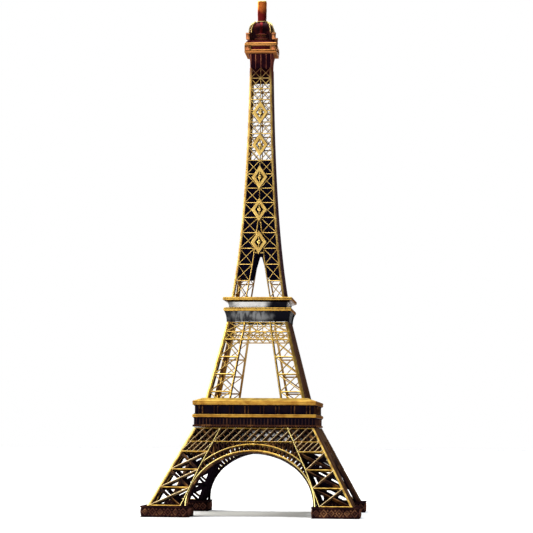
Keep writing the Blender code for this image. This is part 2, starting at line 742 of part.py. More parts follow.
def cupola():
    """A dark square vault, a buttress up each of its corners, and the mast."""
    heights = [CUPOLA_FOOT, *np.linspace(CUPOLA_SHOULDER, CUPOLA_TOP, 7).tolist()]
    profile = [(0, CUPOLA_TOP), *((cupola_half(z), z) for z in reversed(heights)), (0, CUPOLA_FOOT)]
    square_turned("cupola", profile, DARK)

    diagonal = math.sqrt(2)
    wall = [((cupola_half(z) + GAP) * diagonal, z) for z in heights[1:]]
    wall[-1] = tuple(Vector(wall[-2]).lerp(Vector(wall[-1]), 0.4))
    foot, post = wall[0][0], wall[0][0] + POST
    outline = [(foot, CUPOLA_FOOT), (post, CUPOLA_FOOT), (post, CUPOLA_SHOULDER)]
    outline += [(x + RIB, z + RIB / 2) for x, z in wall[1:]]
    outline += list(reversed(wall))
    mesh = plate("buttress", outline, [], BUTTRESS)
    mesh.transform(Matrix.Rotation(math.radians(90), 4, "X"))
    for quarter, corner in enumerate(CORNERS):
        add_part(f"cupola_buttress_{corner}", mesh, COPPER, math.radians(90 * quarter - 45))

    foot = CUPOLA_TOP + GAP
    size = (MAST_WIDTH, MAST_WIDTH, TOWER_TOP - foot)
    mast = add_part("mast", box_mesh("mast", size, (0, 0, (foot + TOWER_TOP) / 2)), COPPER)
    edge = mast.modifiers.new("edges", "BEVEL")
    edge.width = EDGE
    edge.segments = 2


clear_scene()
TOWER = collection("lattice_tower")
CUTTERS = collection("cutters")
CUTTERS.hide_render = True
feet()
lower_panels()
leg_webs()
first_platform()
middle_panels()
second_platform()
spire_panels()
spire_cores()
ornaments()
top_gallery()
cupola()
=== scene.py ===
"""The looks of the souvenir lattice tower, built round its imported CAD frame.

Every casting of the frame is redrawn here with its finer bars, ribs and mouldings, in the
same place as its CAD node. The front faces -Y, and the four sides repeat by quarter turns.
Shapes and materials are worked out in millimetres, lights and the camera in metres.
"""

from functools import partial
from math import atan2, cos, exp, hypot, radians, sin, sqrt

import bmesh
import bpy
from mathutils import Matrix, Vector


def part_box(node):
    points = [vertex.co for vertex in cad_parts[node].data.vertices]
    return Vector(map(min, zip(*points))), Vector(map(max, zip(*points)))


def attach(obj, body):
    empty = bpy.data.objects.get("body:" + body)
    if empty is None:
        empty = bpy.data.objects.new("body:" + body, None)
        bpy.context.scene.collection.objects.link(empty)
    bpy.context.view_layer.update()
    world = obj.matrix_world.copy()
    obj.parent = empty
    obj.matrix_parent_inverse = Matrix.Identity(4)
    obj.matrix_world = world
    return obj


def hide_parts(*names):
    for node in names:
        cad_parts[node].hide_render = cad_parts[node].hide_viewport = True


MM = 0.001
SIDES = ("front", "right", "back", "left")
CORNERS = ("front_right", "back_right", "back_left", "front_left")
BODY = "root"

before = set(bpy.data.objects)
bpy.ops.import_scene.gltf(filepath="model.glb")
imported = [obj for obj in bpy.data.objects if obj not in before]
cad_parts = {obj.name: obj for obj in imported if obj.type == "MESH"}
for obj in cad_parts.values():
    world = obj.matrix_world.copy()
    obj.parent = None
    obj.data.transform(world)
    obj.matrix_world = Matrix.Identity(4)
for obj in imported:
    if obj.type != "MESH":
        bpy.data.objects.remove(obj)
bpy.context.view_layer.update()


def corners_of(node):
    """A CAD node's lowest and highest corners, in millimetres."""
    low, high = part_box(node)
    return low / MM, high / MM


def low_of(node):
    return corners_of(node)[0].z


def top_of(node):
    return corners_of(node)[1].z


def half_of(node):
    return corners_of(node)[1].x


# Heights, from the frame
FOOT_TOP = top_of("foot_front_left")
LEG_FOOT = FOOT_TOP + 0.2
FRIEZE_HIGH = top_of("lower_panel_front")
BAND_FOOT = low_of("first_platform_band")
BAND_HIGH = low_of("first_platform_belt")
BELT_HIGH = top_of("first_platform_belt")
GALLERY_HIGH = top_of("first_platform_gallery")
DECK_TOP = top_of("first_platform_deck")
MIDDLE_TOP = top_of("middle_panel_front")
SKIRT_HIGH = low_of("second_platform_ring")
RING_HIGH = top_of("second_platform_ring")
NECK_HIGH = top_of("second_platform_neck")
SPIRE_FOOT = top_of("second_platform_deck")
SPIRE_TOP = top_of("spire_panel_front")
HEAD_TOP = top_of("spire_head")
TOP_GALLERY_HIGH = top_of("top_gallery")
PLINTH_HIGH = top_of("cupola_plinth")
CUPOLA_TOP = top_of("cupola")
TOWER_TOP = top_of("mast")

# Heights inside the panels
LEG_TOP = 30.0
FRIEZE_LOW = 34.6
MIDDLE_RAIL = 58.1
GIRDER_LOW = 83.0
GIRDER_HIGH = 86.7
SPLIT_TOP = 124.5
SPIRE_NARROWS = 183.3
CUPOLA_SHOULDER = 233.1
SINGED = (206.0, 215.0)

# How far right a face looks as its painted shade starts, and where it is full
TURNED = (0.22, 0.66)

# Each stage's outer corner and inner chord, as (height, half width)
LOWER_OUTER = ((5.4, 47.4), (41.1, 28.6))
LOWER_INNER = ((5.4, 31.7), (21.8, 24.8), (41.1, 15.6))
MIDDLE_OUTER = ((54.9, 23.7), (91.4, 14.8))
MIDDLE_INNER = ((54.9, 12.1), (91.4, 6.0))
SPIRE_INNER = ((103.1, 5.8), (119.4, 2.95), (146.0, 0.0))
SPIRE_SLIM = 4.6
SPIRE_FLARE = 8.3
SPIRE_FLARE_LENGTH = 51.0
FRIEZE_PITCH = 3.7
LEG_PITCH = FRIEZE_PITCH * 0.7
LEAST_RISE = 0.6

# The arch's inner edge
ARCH_HALF_SPAN = 28.6
ARCH_RISE = 24.1

# Metal
LOWER_THICK = 1.5
MIDDLE_THICK = 1.2
SPIRE_THICK = 0.8
CHORD = 1.9
SLIM_CHORD = 1.3
STEP_BACK = 0.18
WEB_GAP = 0.25


# Meshes


def spread(low, high, count):
    """Evenly spaced numbers from low to high, both included."""
    return [low + (high - low) * i / (count - 1) for i in range(count)]


def angles(low, high, count):
    """Evenly spaced angles, given in degrees and returned in radians."""
    return [radians(turn) for turn in spread(low, high, count)]


def between(points, x):
    """The value at x of a line through points (x, value), which runs on past its ends."""
    first = max(i for i in range(len(points) - 1) if i == 0 or x >= points[i][0])
    (x0, value0), (x1, value1) = points[first], points[first + 1]
    return value0 + (value1 - value0) * (x - x0) / (x1 - x0)


lower_outer = partial(between, LOWER_OUTER)
lower_inner = partial(between, LOWER_INNER)
middle_outer = partial(between, MIDDLE_OUTER)
middle_inner = partial(between, MIDDLE_INNER)


def spire_outer(z):
    return SPIRE_SLIM + SPIRE_FLARE * exp((SPIRE_FOOT - z) / SPIRE_FLARE_LENGTH)


def spire_inner(z):
    return max(between(SPIRE_INNER, z), 0)


def inset(outline, depth):
    """An outline of half widths by height, moved in towards the axis."""
    return lambda z: outline(z) - depth


# Each stage's outer faces, inner chords, middles of the outer chords, and thickness
LOWER_STAGE = (lower_outer, lower_inner, inset(lower_outer, CHORD / 2), LOWER_THICK)
MIDDLE_STAGE = (middle_outer, middle_inner, inset(middle_outer, CHORD / 2), MIDDLE_THICK)
SPIRE_STAGE = (spire_outer, spire_inner, inset(spire_outer, SLIM_CHORD / 2), SPIRE_THICK)


def arc_points(centre, radii, start, end, count):
    """Points of an arc, between angles in degrees from the first coordinate's direction."""
    (x, z), (wide, tall) = centre, radii
    return [(x + wide * cos(t), z + tall * sin(t)) for t in angles(start, end, count)]


def facing(outer, z):
    """The direction that a sloping side faces at a height."""
    near = 0.1
    slope = (outer(z - near) - outer(z + near)) / (2 * near)
    return Vector((0, -1, slope)).normalized()


def rounded(width, thick, back=0.0, root=0.0):
    """A bar's section with a half-round front, as (across, out) points.

    Its flanks may splay to a wider root.
    """
    half, foot = width / 2, max(width, root) / 2
    bulge = min(half, thick * 0.6)
    front = [(half * cos(t), bulge * (sin(t) - 1) - back) for t in angles(0, 180, 5)]
    return [*front, (-foot, -thick), (foot, -thick)]


def bevelled(width, thick):
    """A bar's section with a flat front and bevelled edges."""
    half, edge = width / 2, min(width, thick) * 0.25
    front = [(half, -edge), (half - edge, 0), (edge - half, 0), (-half, -edge)]
    return [*front, (-half, -thick), (half, -thick)]


def join_rings(bm, rings, closed):
    """Faces between rings of vertices, with a cap on each end unless the last meets the first."""
    last = len(rings) if closed else len(rings) - 1
    for i in range(last):
        near, far = rings[i], rings[(i + 1) % len(rings)]
        for j in range(len(near)):
            k = (j + 1) % len(near)
            bm.faces.new((near[j], near[k], far[k], far[j]))
    if not closed:
        bm.faces.new(rings[0])
        bm.faces.new(rings[-1])


def sweep(bm, path, outs, section, closed=False):
    """A section of (across, out) points carried along a path, with the way out at each point."""
    rings = []
    last = len(path) - 1
    for i, (point, out) in enumerate(zip(path, outs)):
        before = path[i - 1] if closed or i > 0 else point
        after = path[(i + 1) % len(path)] if closed or i < last else point
        along = ((after - point).normalized() + (point - before).normalized()).normalized()
        ahead = (after - point if i < last or closed else point - before).normalized()
        across = along.cross(out).normalized()
        stretch = 1 / max(ahead.dot(along), 0.4)
        lift = across.cross(along)
        rings.append([bm.verts.new(point + across * a * stretch + lift * b) for a, b in section])
    join_rings(bm, rings, closed)


def strip(bm, outer, points, section, closed=False):
    """A bar along points (x, z) of a side, its front flush with the side."""
    path = [Vector((x, -outer(z), z)) for x, z in points]
    sweep(bm, path, [facing(outer, z) for x, z in points], section, closed)


def strut(bm, outer, start, end, section, steps=1):
    """A straight bar between two points (x, z) of a side."""
    points = [[a + (b - a) * share for a, b in zip(start, end)] for share in spread(0, 1, steps + 1)]
    strip(bm, outer, points, section)


def both_strips(bm, outer, points, section):
    """A bar on the right half of a side and its mirror image on the left."""
    for side in (1, -1):
        strip(bm, outer, [(side * x, z) for x, z in points], section)


def level_strut(bm, outer, half, z, section):
    """A level bar across a side."""
    strut(bm, outer, (-half, z), (half, z), section)


def cross(bm, outer, corners, rising, falling, steps=1):
    """The X of a bay, or one bar of it, between its corners counted round from the lower left."""
    for section, start, end in ((rising, 0, 2), (falling, 1, 3)):
        if section:
            strut(bm, outer, corners[start], corners[end], section, steps)


def bay(near, far, low, high):
    """The corners of a bay between two upright lines, near(z) and far(z)."""
    return ((near(low), low), (far(low), low), (far(high), high), (near(high), high))


def mirrored(corners):
    """The same bay on the left half, its corners in the same order."""
    lower_near, lower_far, upper_far, upper_near = [(-x, z) for x, z in corners]
    return lower_far, lower_near, upper_near, upper_far


def leg_braces(bm, stage, levels, rising, falling, steps=1):
    """The crosses in both legs of a side, between neighbouring levels."""
    outer, inner, line, _ = stage
    for low, high in zip(levels, levels[1:]):
        right = bay(inner, line, low, high)
        for corners in (right, mirrored(right)):
            cross(bm, outer, corners, rising, falling, steps)


def leg_rails(bm, stage, levels, section):
    """The level bars in both legs of a side."""
    outer, inner, line, _ = stage
    for z in levels:
        both_strips(bm, outer, ((inner(z), z), (line(z), z)), section)


def corner_chord(bm, outer, heights, width, thick, radius):
    """Both outer chords of a side, mitred at the tower's corners and rounded there."""
    nip = width * 0.14
    for side in (1, -1):
        rings = []
        for z in heights:
            out = outer(z)
            plan = [(out - width, thick), (out - width, nip), (out - width + nip, 0)]
            plan += arc_points((out - radius, radius), (radius, radius), -90, -45, 4)
            plan.append((out - thick, thick))
            rings.append([bm.verts.new((side * x, y - out, z)) for x, y in plan])
        join_rings(bm, rings, False)


def square_loop(bm, half, z, radius):
    """The vertices of a level square with rounded corners."""
    radius = min(radius, half * 0.9)
    reach = half - radius
    loop = []
    for quarter, (x, y) in enumerate(((1, 1), (-1, 1), (-1, -1), (1, -1))):
        start = 90 * quarter
        loop += arc_points((x * reach, y * reach), (radius, radius), start, start + 90, 4)
    return [bm.verts.new((*point, z)) for point in loop]


def moulding(bm, profile, radius, closed=True):
    """A square moulding from a profile of (half width, height), solid through if it isn't closed."""
    loops = [square_loop(bm, half, z, radius) for half, z in profile]
    join_rings(bm, loops, closed)


def half_round(inside, edge, low, high, centre, bulge, turn, count=9):
    """A moulding's profile whose face is an arc between two square edges."""
    arc = arc_points((centre, (low + high) / 2), (bulge, (high - low) / 2), -turn, turn, count)
    return [(inside, low), (edge, low), *arc, (edge, high), (inside, high)]


def block(bm, low, high, edge):
    """A box between two corners, with bevelled edges."""
    size = Vector(high) - Vector(low)
    place = Matrix.Translation((Vector(low) + Vector(high)) / 2) @ Matrix.Diagonal((*size, 1))
    made = bmesh.ops.create_cube(bm, size=1, matrix=place)
    edges = {line for vert in made["verts"] for line in vert.link_edges}
    bmesh.ops.bevel(bm, geom=list(edges), offset=edge, segments=2, affect="EDGES", profile=0.5)


def stud(bm, x, z, half, tall, near, far, edge):
    """A bevelled block on the front, about a point (x, z) of it."""
    block(bm, (x - half, near, z - tall), (x + half, far, z + tall), edge)


def lathe(bm, profile, steps, middle=(0, 0)):
    """A solid of revolution about an upright line, from (radius, height) points."""
    rings = []
    for radius, z in profile:
        ring = arc_points(middle, (radius, radius), 0, 360 - 360 / steps, steps)
        rings.append([bm.verts.new((*point, z)) for point in ring])
    join_rings(bm, rings, False)


def four_times(bm):
    """Adds the other three sides to a mesh that holds the front one."""
    front = bm.verts[:] + bm.edges[:] + bm.faces[:]
    for quarter in (1, 2, 3):
        copy = bmesh.ops.duplicate(bm, geom=front)["geom"]
        verts = [item for item in copy if isinstance(item, bmesh.types.BMVert)]
        turn = Matrix.Rotation(radians(90 * quarter), 3, "Z")
        bmesh.ops.rotate(bm, verts=verts, matrix=turn)


def placed(name, data):
    """A new object in the scene."""
    made = bpy.data.objects.new(name, data)
    bpy.context.scene.collection.objects.link(made)
    return made


def piece(name, bm, finish, slot, *nodes, turn=0.0):
    """A finished piece that stands for CAD nodes, turned about the tower's axis."""
    bmesh.ops.recalc_face_normals(bm, faces=bm.faces[:])
    mesh = bpy.data.meshes.new(name)
    bm.to_mesh(mesh)
    bm.free()
    mesh.transform(Matrix.Scale(MM, 4) @ Matrix.Rotation(turn, 4, "Z"))
    mesh.shade_smooth()
    mesh.set_sharp_from_angle(angle=radians(40))
    mesh.materials.append(finish)
    made = placed(name, mesh)
    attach(made, BODY)
    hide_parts(*nodes)


def four_pieces(name, make, finish, slot, node=None):
    """One piece for each side of the tower."""
    for quarter, side in enumerate(SIDES):
        bm = bmesh.new()
        make(bm)
        nodes = [f"{node}_{side}"] if node else []
        piece(f"{name}_{side}", bm, finish, slot, *nodes, turn=radians(90 * quarter))


def ring_piece(name, front, finish, slot):
    """One piece that repeats the front's mesh on all four sides."""
    four_times(front)
    piece(name, front, finish, slot)


def moulded_piece(name, profile, radius, finish, slot, *nodes, closed=True):
    """One piece that is a square moulding."""
    bm = bmesh.new()
    moulding(bm, profile, radius, closed)
    piece(name, bm, finish, slot, *nodes)


def refinish(node, finish):
    """Gives a CAD node that stays as it is a new material."""
    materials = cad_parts[node].data.materials
    materials.clear()
    materials.append(finish)


def add_to(bm, other):
    """Adds one mesh to another."""
    mesh = bpy.data.meshes.new("part")
    other.to_mesh(mesh)
    other.free()
    bm.from_mesh(mesh)
    bpy.data.meshes.remove(mesh)


# Materials

# Where a Mix node has its two colours, and their blend
COLOURS_IN = slice(6, 8)
COLOUR_OUT = 2

# Colours that the plates share: painted light on what looks up, a painted highlight, patina and
# painted shade on the flanks, the red near the spire's top, and copper's painted shade
TOP_LIGHT_DEEP, TOP_LIGHT_PALE = (0.44, 0.27, 0.05), (0.66, 0.45, 0.085)
GLINT = (1.0, 0.84, 0.32)
FLANK_PATINA_AND_SHADE = (0.040, 0.015, 0.008)
SINGED_RED = (0.09, 0.022, 0.016)
COPPER_SHADE = (0.03, 0.008, 0.012)
COPPER_UNDERSIDE_SHADE = (0.20, 0.075, 0.025)


class Nodes:
    """A node tree, built up one node at a time."""

    def __init__(self, tree):
        self.tree = tree

    def feed(self, socket, value):
        if isinstance(value, bpy.types.NodeSocket):
            self.tree.links.new(value, socket)
        else:
            socket.default_value = value

    def node(self, kind, *values, **settings):
        """A node with its settings, and its first inputs fed in order."""
        node = self.tree.nodes.new(f"ShaderNode{kind}")
        for name, value in settings.items():
            setattr(node, name, value)
        for socket, value in zip(node.inputs, values):
            self.feed(socket, value)
        return node

    def math(self, operation, *values):
        return self.node("Math", *values, operation=operation).outputs[0]

    def stretch(self, vector, factors):
        return self.node("VectorMath", vector, factors, operation="MULTIPLY").outputs[0]

    def split(self, vector):
        return self.node("SeparateXYZ", vector).outputs

    def ramp(self, *values):
        """Maps a value smoothly from one range to another: value, low, high, to low, to high."""
        return self.node("MapRange", *values, interpolation_type="SMOOTHSTEP").outputs[0]


class Look(Nodes):
    """A material's nodes. Its positions are in millimetres."""

    def __init__(self, name):
        self.material = bpy.data.materials.new(name)
        self.material.use_nodes = True
        super().__init__(self.material.node_tree)
        self.shader = self.tree.nodes["Principled BSDF"]
        geometry = self.node("NewGeometry")
        self.normal = geometry.outputs["Normal"]
        self.position = self.stretch(geometry.outputs["Position"], (1 / MM, 1 / MM, 1 / MM))

    def noise(self, size, detail, vector=None):
        """Noise whose blotches are about that size across."""
        node = self.node("TexNoise", vector or self.position)
        node.inputs["Scale"].default_value = 1 / size
        node.inputs["Detail"].default_value = detail
        return node.outputs["Fac"]

    def vary(self, noise, low, high):
        """A value that wanders between two numbers with the noise."""
        return self.ramp(noise, 0.3, 0.7, low, high)

    def mix(self, share, first, second):
        """A blend of two colours."""
        node = self.node("Mix", share, data_type="RGBA")
        for socket, colour in zip(node.inputs[COLOURS_IN], (first, second)):
            self.feed(socket, (*colour, 1) if isinstance(colour, tuple) else colour)
        return node.outputs[COLOUR_OUT]

    def by_side(self, front, flank):
        """One value on the front and back sides, another on the left and right ones."""
        x, y, _ = self.split(self.position)
        nearer = self.math("GREATER_THAN", self.math("ABSOLUTE", y), self.math("ABSOLUTE", x))
        return self.math("MULTIPLY_ADD", self.math("SUBTRACT", front, flank), nearer, flank)

    def outward(self):
        """How far a face looks away from the tower's axis: 1 square out, -1 square in."""
        x, y, _ = self.split(self.position)
        across, along, _ = self.split(self.normal)
        on_x = self.math("MULTIPLY", across, self.math("SIGN", x))
        on_y = self.math("MULTIPLY", along, self.math("SIGN", y))
        return self.by_side(on_y, on_x)

    def grain(self, size, depth):
        """A fine grain, and bumps of that depth that follow it."""
        grain = self.noise(size, 2.0)
        bump = self.node("Bump")
        self.feed(bump.inputs["Distance"], depth * MM)
        self.feed(bump.inputs["Height"], grain)
        self.feed(self.shader.inputs["Normal"], bump.outputs[0])
        return grain

    def finish(self, colour, roughness, metallic, specular=0.0):
        """The material, with the shader's main inputs fed."""
        inputs = {"Base Color": colour, "Roughness": roughness, "Metallic": metallic,
                  "Specular IOR Level": specular}
        for name, value in inputs.items():
            self.feed(self.shader.inputs[name], value)
        return self.material


def gold(name, bright, deep, inner=(0.05, 0.02, 0.01), shade_colour=(0.022, 0.010, 0.018),
         turn=TURNED, right=False, glint=0.0, shade=0.0, dull=0.0):
    """Gold plate, lighter on what looks out or up, with painted shade on what looks right.

    What looks in is near black and the flanks dark brown, partly patina and partly painted
    shade, and what looks up is painted lighter. turn is how far right a face looks as the
    painted shade starts, and where it is full. right puts it on all of the right side's bars
    too. glint paints a highlight on the corners on the left, shade paints shade on what looks
    left, and dull roughens what looks up and paints more light on it.
    """
    look = Look(name)
    x, y, height = look.split(look.position)
    aside, _, upward = look.split(look.normal)
    # lighter on what looks out, and on what looks up as painted light
    out = look.math("MAXIMUM", look.outward(), look.math("MULTIPLY", upward, 1.6))
    cloud, grain = look.noise(3.2, 4.0), look.grain(0.35, 0.02)
    outwardness = look.math("ADD", out, look.vary(cloud, -0.12, 0.12))
    plate = look.mix(look.ramp(cloud, 0.35, 0.65), deep, bright)
    rough = look.vary(grain, 0.28, 0.42)
    # what looks up gets a rougher surface and a lighter colour of painted light
    if dull:
        level = look.mix(look.ramp(cloud, 0.38, 0.62), TOP_LIGHT_DEEP, TOP_LIGHT_PALE)
        plate = look.mix(look.ramp(upward, 0.7, 0.98), plate, level)
        rough = look.math("ADD", rough, look.ramp(upward, 0.7, 0.98, 0.0, dull))
    # a painted highlight on the corners that look left
    if glint:
        leftish = look.ramp(aside, -0.03, -0.35, 0.0, glint)
        corner = look.math("MULTIPLY", leftish, look.ramp(aside, -0.86, -0.74))
        plate = look.mix(corner, plate, GLINT)
    if shade:
        plate = look.mix(look.ramp(aside, -0.25, -0.7, 0.0, shade), plate, shade_colour)
    # near black on what looks in and dark brown on the flanks: partly patina, partly painted shade
    flanks_patina_and_shade = look.mix(look.ramp(outwardness, 0.42, 0.9), FLANK_PATINA_AND_SHADE, plate)
    colour = look.mix(look.ramp(outwardness, -0.35, 0.3), inner, flanks_patina_and_shade)
    # painted shade on what looks right, and with right on the whole right side, which also loses its
    # metal shine
    right_shade = look.ramp(aside, *turn)
    if right:
        beyond = look.math("SUBTRACT", x, look.math("ABSOLUTE", y))
        right_shade = look.math("MAXIMUM", right_shade, look.ramp(beyond, 0.0, 0.4))
    with_painted_shade = look.mix(right_shade, colour, shade_colour)
    singed = look.mix(look.ramp(height, *SINGED, 0.0, 0.88), with_painted_shade, SINGED_RED)
    return look.finish(singed, rough, look.math("SUBTRACT", 1.0, right_shade))


def bronze(name, body, tint, roughness, metallic=True):
    """Dark plate with a warm bloom where handled, dull on top, and dull on the right as painted
    shade.
    """
    look = Look(name)
    cloud = look.noise(4.5, 4.0)
    look.grain(0.4, 0.015)
    outer = look.ramp(look.outward(), 0.0, 0.9)
    handled = look.math("MULTIPLY", look.ramp(cloud, 0.45, 0.75), outer)
    polish = 0.0
    # what looks right or up loses its metal shine; on the right this paints shade
    if metallic:
        aside, _, upward = look.split(look.normal)
        shy = look.math("MAXIMUM", aside, look.math("SUBTRACT", upward, 0.3))
        polish = look.ramp(shy, *TURNED, 1.0, 0.0)
    rough = look.vary(cloud, roughness, roughness + 0.14)
    return look.finish(look.mix(handled, body, tint), rough, polish)


def copper(name, low, high, dark, bright, tip=None):
    """Copper plate, dark to bright between two heights, with a dull underside of painted shade."""
    look = Look(name)
    height, upward = look.split(look.position)[2], look.split(look.normal)[2]
    cloud, grain = look.noise(2.4, 4.0), look.grain(0.35, 0.02)
    uneven = look.math("ADD", height, look.vary(cloud, -0.6, 0.6))
    colour = look.mix(look.ramp(uneven, low, high), dark, bright)
    # the tip colour is a painted highlight
    if tip:
        colour = look.mix(look.ramp(height, TOWER_TOP - 1.0, TOWER_TOP - 0.3), colour, tip)
    shown = look.math("MAXIMUM", look.outward(), look.math("ABSOLUTE", upward))
    shaded = look.mix(look.ramp(shown, -0.3, 0.35), COPPER_SHADE, colour)
    # painted shade on what looks down, with no metal shine there
    under = look.ramp(upward, -0.3, -0.7)
    with_painted_shade = look.mix(under, shaded, COPPER_UNDERSIDE_SHADE)
    polish = look.math("SUBTRACT", 1.0, under)
    return look.finish(with_painted_shade, look.vary(grain, 0.26, 0.38), polish)


def gloss(name, body, sheen, middle, reach, streaks=0.0, front=False):
    """Black plate with a pale sheen about a point along each side, or along the front only.

    The sheen is a painted reflection. streaks is how far it breaks up into upright streaks.
    """
    look = Look(name)
    cloud = look.noise(5, 3.0)
    look.grain(0.4, 0.012)
    aside, back, _ = look.split(look.normal)
    x, y, _ = look.split(look.position)
    away = look.math("ABSOLUTE", look.math("SUBTRACT", look.by_side(x, y), middle))
    uneven = look.math("ADD", away, look.vary(cloud, -2.2, 2.2))
    facing_out = look.ramp(look.outward(), 0.5, 0.95)
    lit = look.math("MULTIPLY", look.ramp(uneven, reach, reach * 0.25), facing_out)
    if front:
        lit = look.math("MULTIPLY", lit, look.ramp(back, -0.5, -0.9))
    tall = look.stretch(look.position, (1.0, 1.0, 0.3))
    streak = look.ramp(look.noise(2.2, 3.0, tall), 0.38, 0.56, 1.0 - streaks, 1.0)
    # the sheen is a painted reflection
    colour = look.mix(look.math("MULTIPLY", lit, streak), body, sheen)
    # faces that look right lose their metal shine, which paints shade on that side
    polish = look.ramp(aside, *TURNED, 1.0, 0.0)
    return look.finish(colour, look.vary(cloud, 0.16, 0.26), polish)


def pale_floor():
    look = Look("pale_floor")
    cloud = look.noise(400, 2.0)
    colour = look.mix(cloud, (0.88, 0.88, 0.88), (0.9, 0.9, 0.9))
    return look.finish(colour, 0.95, 0.0, specular=0.5)


# The lower stage


def plinth(bm):
    """The front right foot: a block between a base and a rim."""
    low, high = corners_of("foot_front_right")
    rim = 0.7
    shaft, base = (0.6, 0, high.z - 0.1, 0.2), (0.18, 0, rim * 0.7, 0.2)
    for inset, foot, top, edge in (shaft, base, (0, high.z - rim, high.z, 0.3)):
        near, far = (low.x + inset, low.y + inset, foot), (high.x - inset, high.y - inset, top)
        block(bm, near, far, edge)


def lozenge(reach, tall):
    """The corners of a lozenge about the origin."""
    return [(0, -tall), (reach, 0), (0, tall), (-reach, 0)]


def plinth_relief(bm):
    """Lozenges, bosses and studs round the front right foot."""
    low, high = corners_of("foot_front_right")
    inset, thick, bosses = 0.6, 0.7, 6
    front_y = low.y + 0.04
    pitch = (high.x - low.x - 2 * inset) / bosses
    middle = (high.z - 0.2) / 2
    centre = (low + high) / 2
    shift = Matrix.Translation((centre.x, centre.y, 0))
    for face in range(4):
        front = bmesh.new()
        for boss in range(bosses):
            x = low.x + inset + pitch * (boss + 0.5)
            reach, tall = (pitch * 0.42, 1.6) if boss % 2 else (pitch * 0.33, 1.25)
            ring = [Vector((x + a, front_y, middle + b)) for a, b in lozenge(reach, tall)]
            sweep(front, ring, [Vector((0, -1, 0))] * 4, rounded(0.55, thick), closed=True)
            stud(front, x, middle, 0.4, 0.4, front_y, front_y + thick, 0.18)
            for rise in (-1.2, 1.2) if boss < bosses - 1 else ():
                beside = x + pitch / 2
                stud(front, beside, middle + rise, 0.36, 0.36, front_y + 0.1, front_y + thick, 0.14)
        turn = Matrix.Rotation(radians(90 * face), 4, "Z")
        bmesh.ops.transform(front, matrix=shift @ turn @ shift.inverted(), verts=front.verts[:])
        add_to(bm, front)


def arch_point(angle, grow):
    """A point (x, z) of the arch, at an angle from its crown, grown outwards."""
    x = (ARCH_HALF_SPAN + grow) * sin(angle)
    return x, LEG_FOOT + (ARCH_RISE + grow) * cos(angle)


def arch_height(x, grow):
    """The height of the arch, grown outwards, at a distance from its middle."""
    return LEG_FOOT + (ARCH_RISE + grow) * sqrt(1 - (x / (ARCH_HALF_SPAN + grow)) ** 2)


def within(start, end, inside):
    """The stretch of a straight line where inside(x, z) isn't negative, or None."""
    first, last = inside(*start), inside(*end)
    if first < 0 and last < 0:
        return None
    points = [start, end]
    if first * last < 0:
        share = first / (first - last)
        meet = tuple(a + (b - a) * share for a, b in zip(start, end))
        points[0 if first < 0 else 1] = meet
    return points


def lattice(bm, outer, low, high, pitch, limits, lean, section):
    """Bars at 45 degrees between two heights, cut off by the limits."""
    tall = high - low
    steps = int((outer(low) + tall) / pitch) + 1
    for step in range(-steps, steps + 1):
        line = ((step * pitch, low), (step * pitch + lean * tall, high))
        for inside in limits:
            line = line and within(*line, inside)
        if line and abs(line[0][1] - line[1][1]) > LEAST_RISE:
            strut(bm, outer, *line, section)


LEG_LEVELS = spread(LEG_FOOT, LEG_TOP, 4)
ARCH_TURNS = angles(-90, 90, 61)


def across_side(half):
    """Limits that keep a bar within a half width."""
    return lambda x, z: half(z) - x, lambda x, z: half(z) + x


def across_leg(inner, line, hand):
    """Limits that keep a bar within one leg, the right one for hand 1."""
    return lambda x, z: line(z) - hand * x, lambda x, z: hand * x - inner(z)


def lower_side(bm):
    """The gold bars of the lower stage: chords, rails and the arch's two arcs."""
    outer, inner, line, thick = LOWER_STAGE
    corner_chord(bm, outer, (FOOT_TOP - 1, FRIEZE_HIGH), CHORD, thick, 1.3)
    leg_rails(bm, LOWER_STAGE, LEG_LEVELS, rounded(0.5, thick, 0.0, 0.9))
    for z in (FRIEZE_LOW, FRIEZE_HIGH - 0.3):
        level_strut(bm, outer, line(z), z, rounded(0.36, thick, 0.0, 0.6))
    chord = [(inner(z), z) for z in (LEG_FOOT - 1, LOWER_INNER[1][0], FRIEZE_HIGH)]
    both_strips(bm, outer, chord, rounded(0.75, thick, -0.12, 1.2))
    strip(bm, outer, [arch_point(turn, 0.95) for turn in ARCH_TURNS], rounded(1.05, thick))
    upper = [arch_point(turn, 3.9) for turn in ARCH_TURNS]
    upper = [(x, z) for x, z in upper if abs(x) < inner(z)]
    strip(bm, outer, upper, rounded(0.7, thick, 0.0, 1.0))


def lower_pale_side(bm):
    """The pale bars of the lower stage: rising braces, and the rising bars of the frieze."""
    outer, inner, line, thick = LOWER_STAGE
    leg_braces(bm, LOWER_STAGE, LEG_LEVELS, rounded(0.44, thick, -0.08, 0.7), None)
    fine = rounded(0.38, thick * 0.8, -0.05, 0.6)
    lattice(bm, outer, FRIEZE_LOW, FRIEZE_HIGH, FRIEZE_PITCH, across_side(line), 1, fine)
    for hand in (1, -1):
        leg = across_leg(inner, line, hand)
        lattice(bm, outer, LEG_TOP, FRIEZE_LOW, LEG_PITCH, leg, 1, fine)


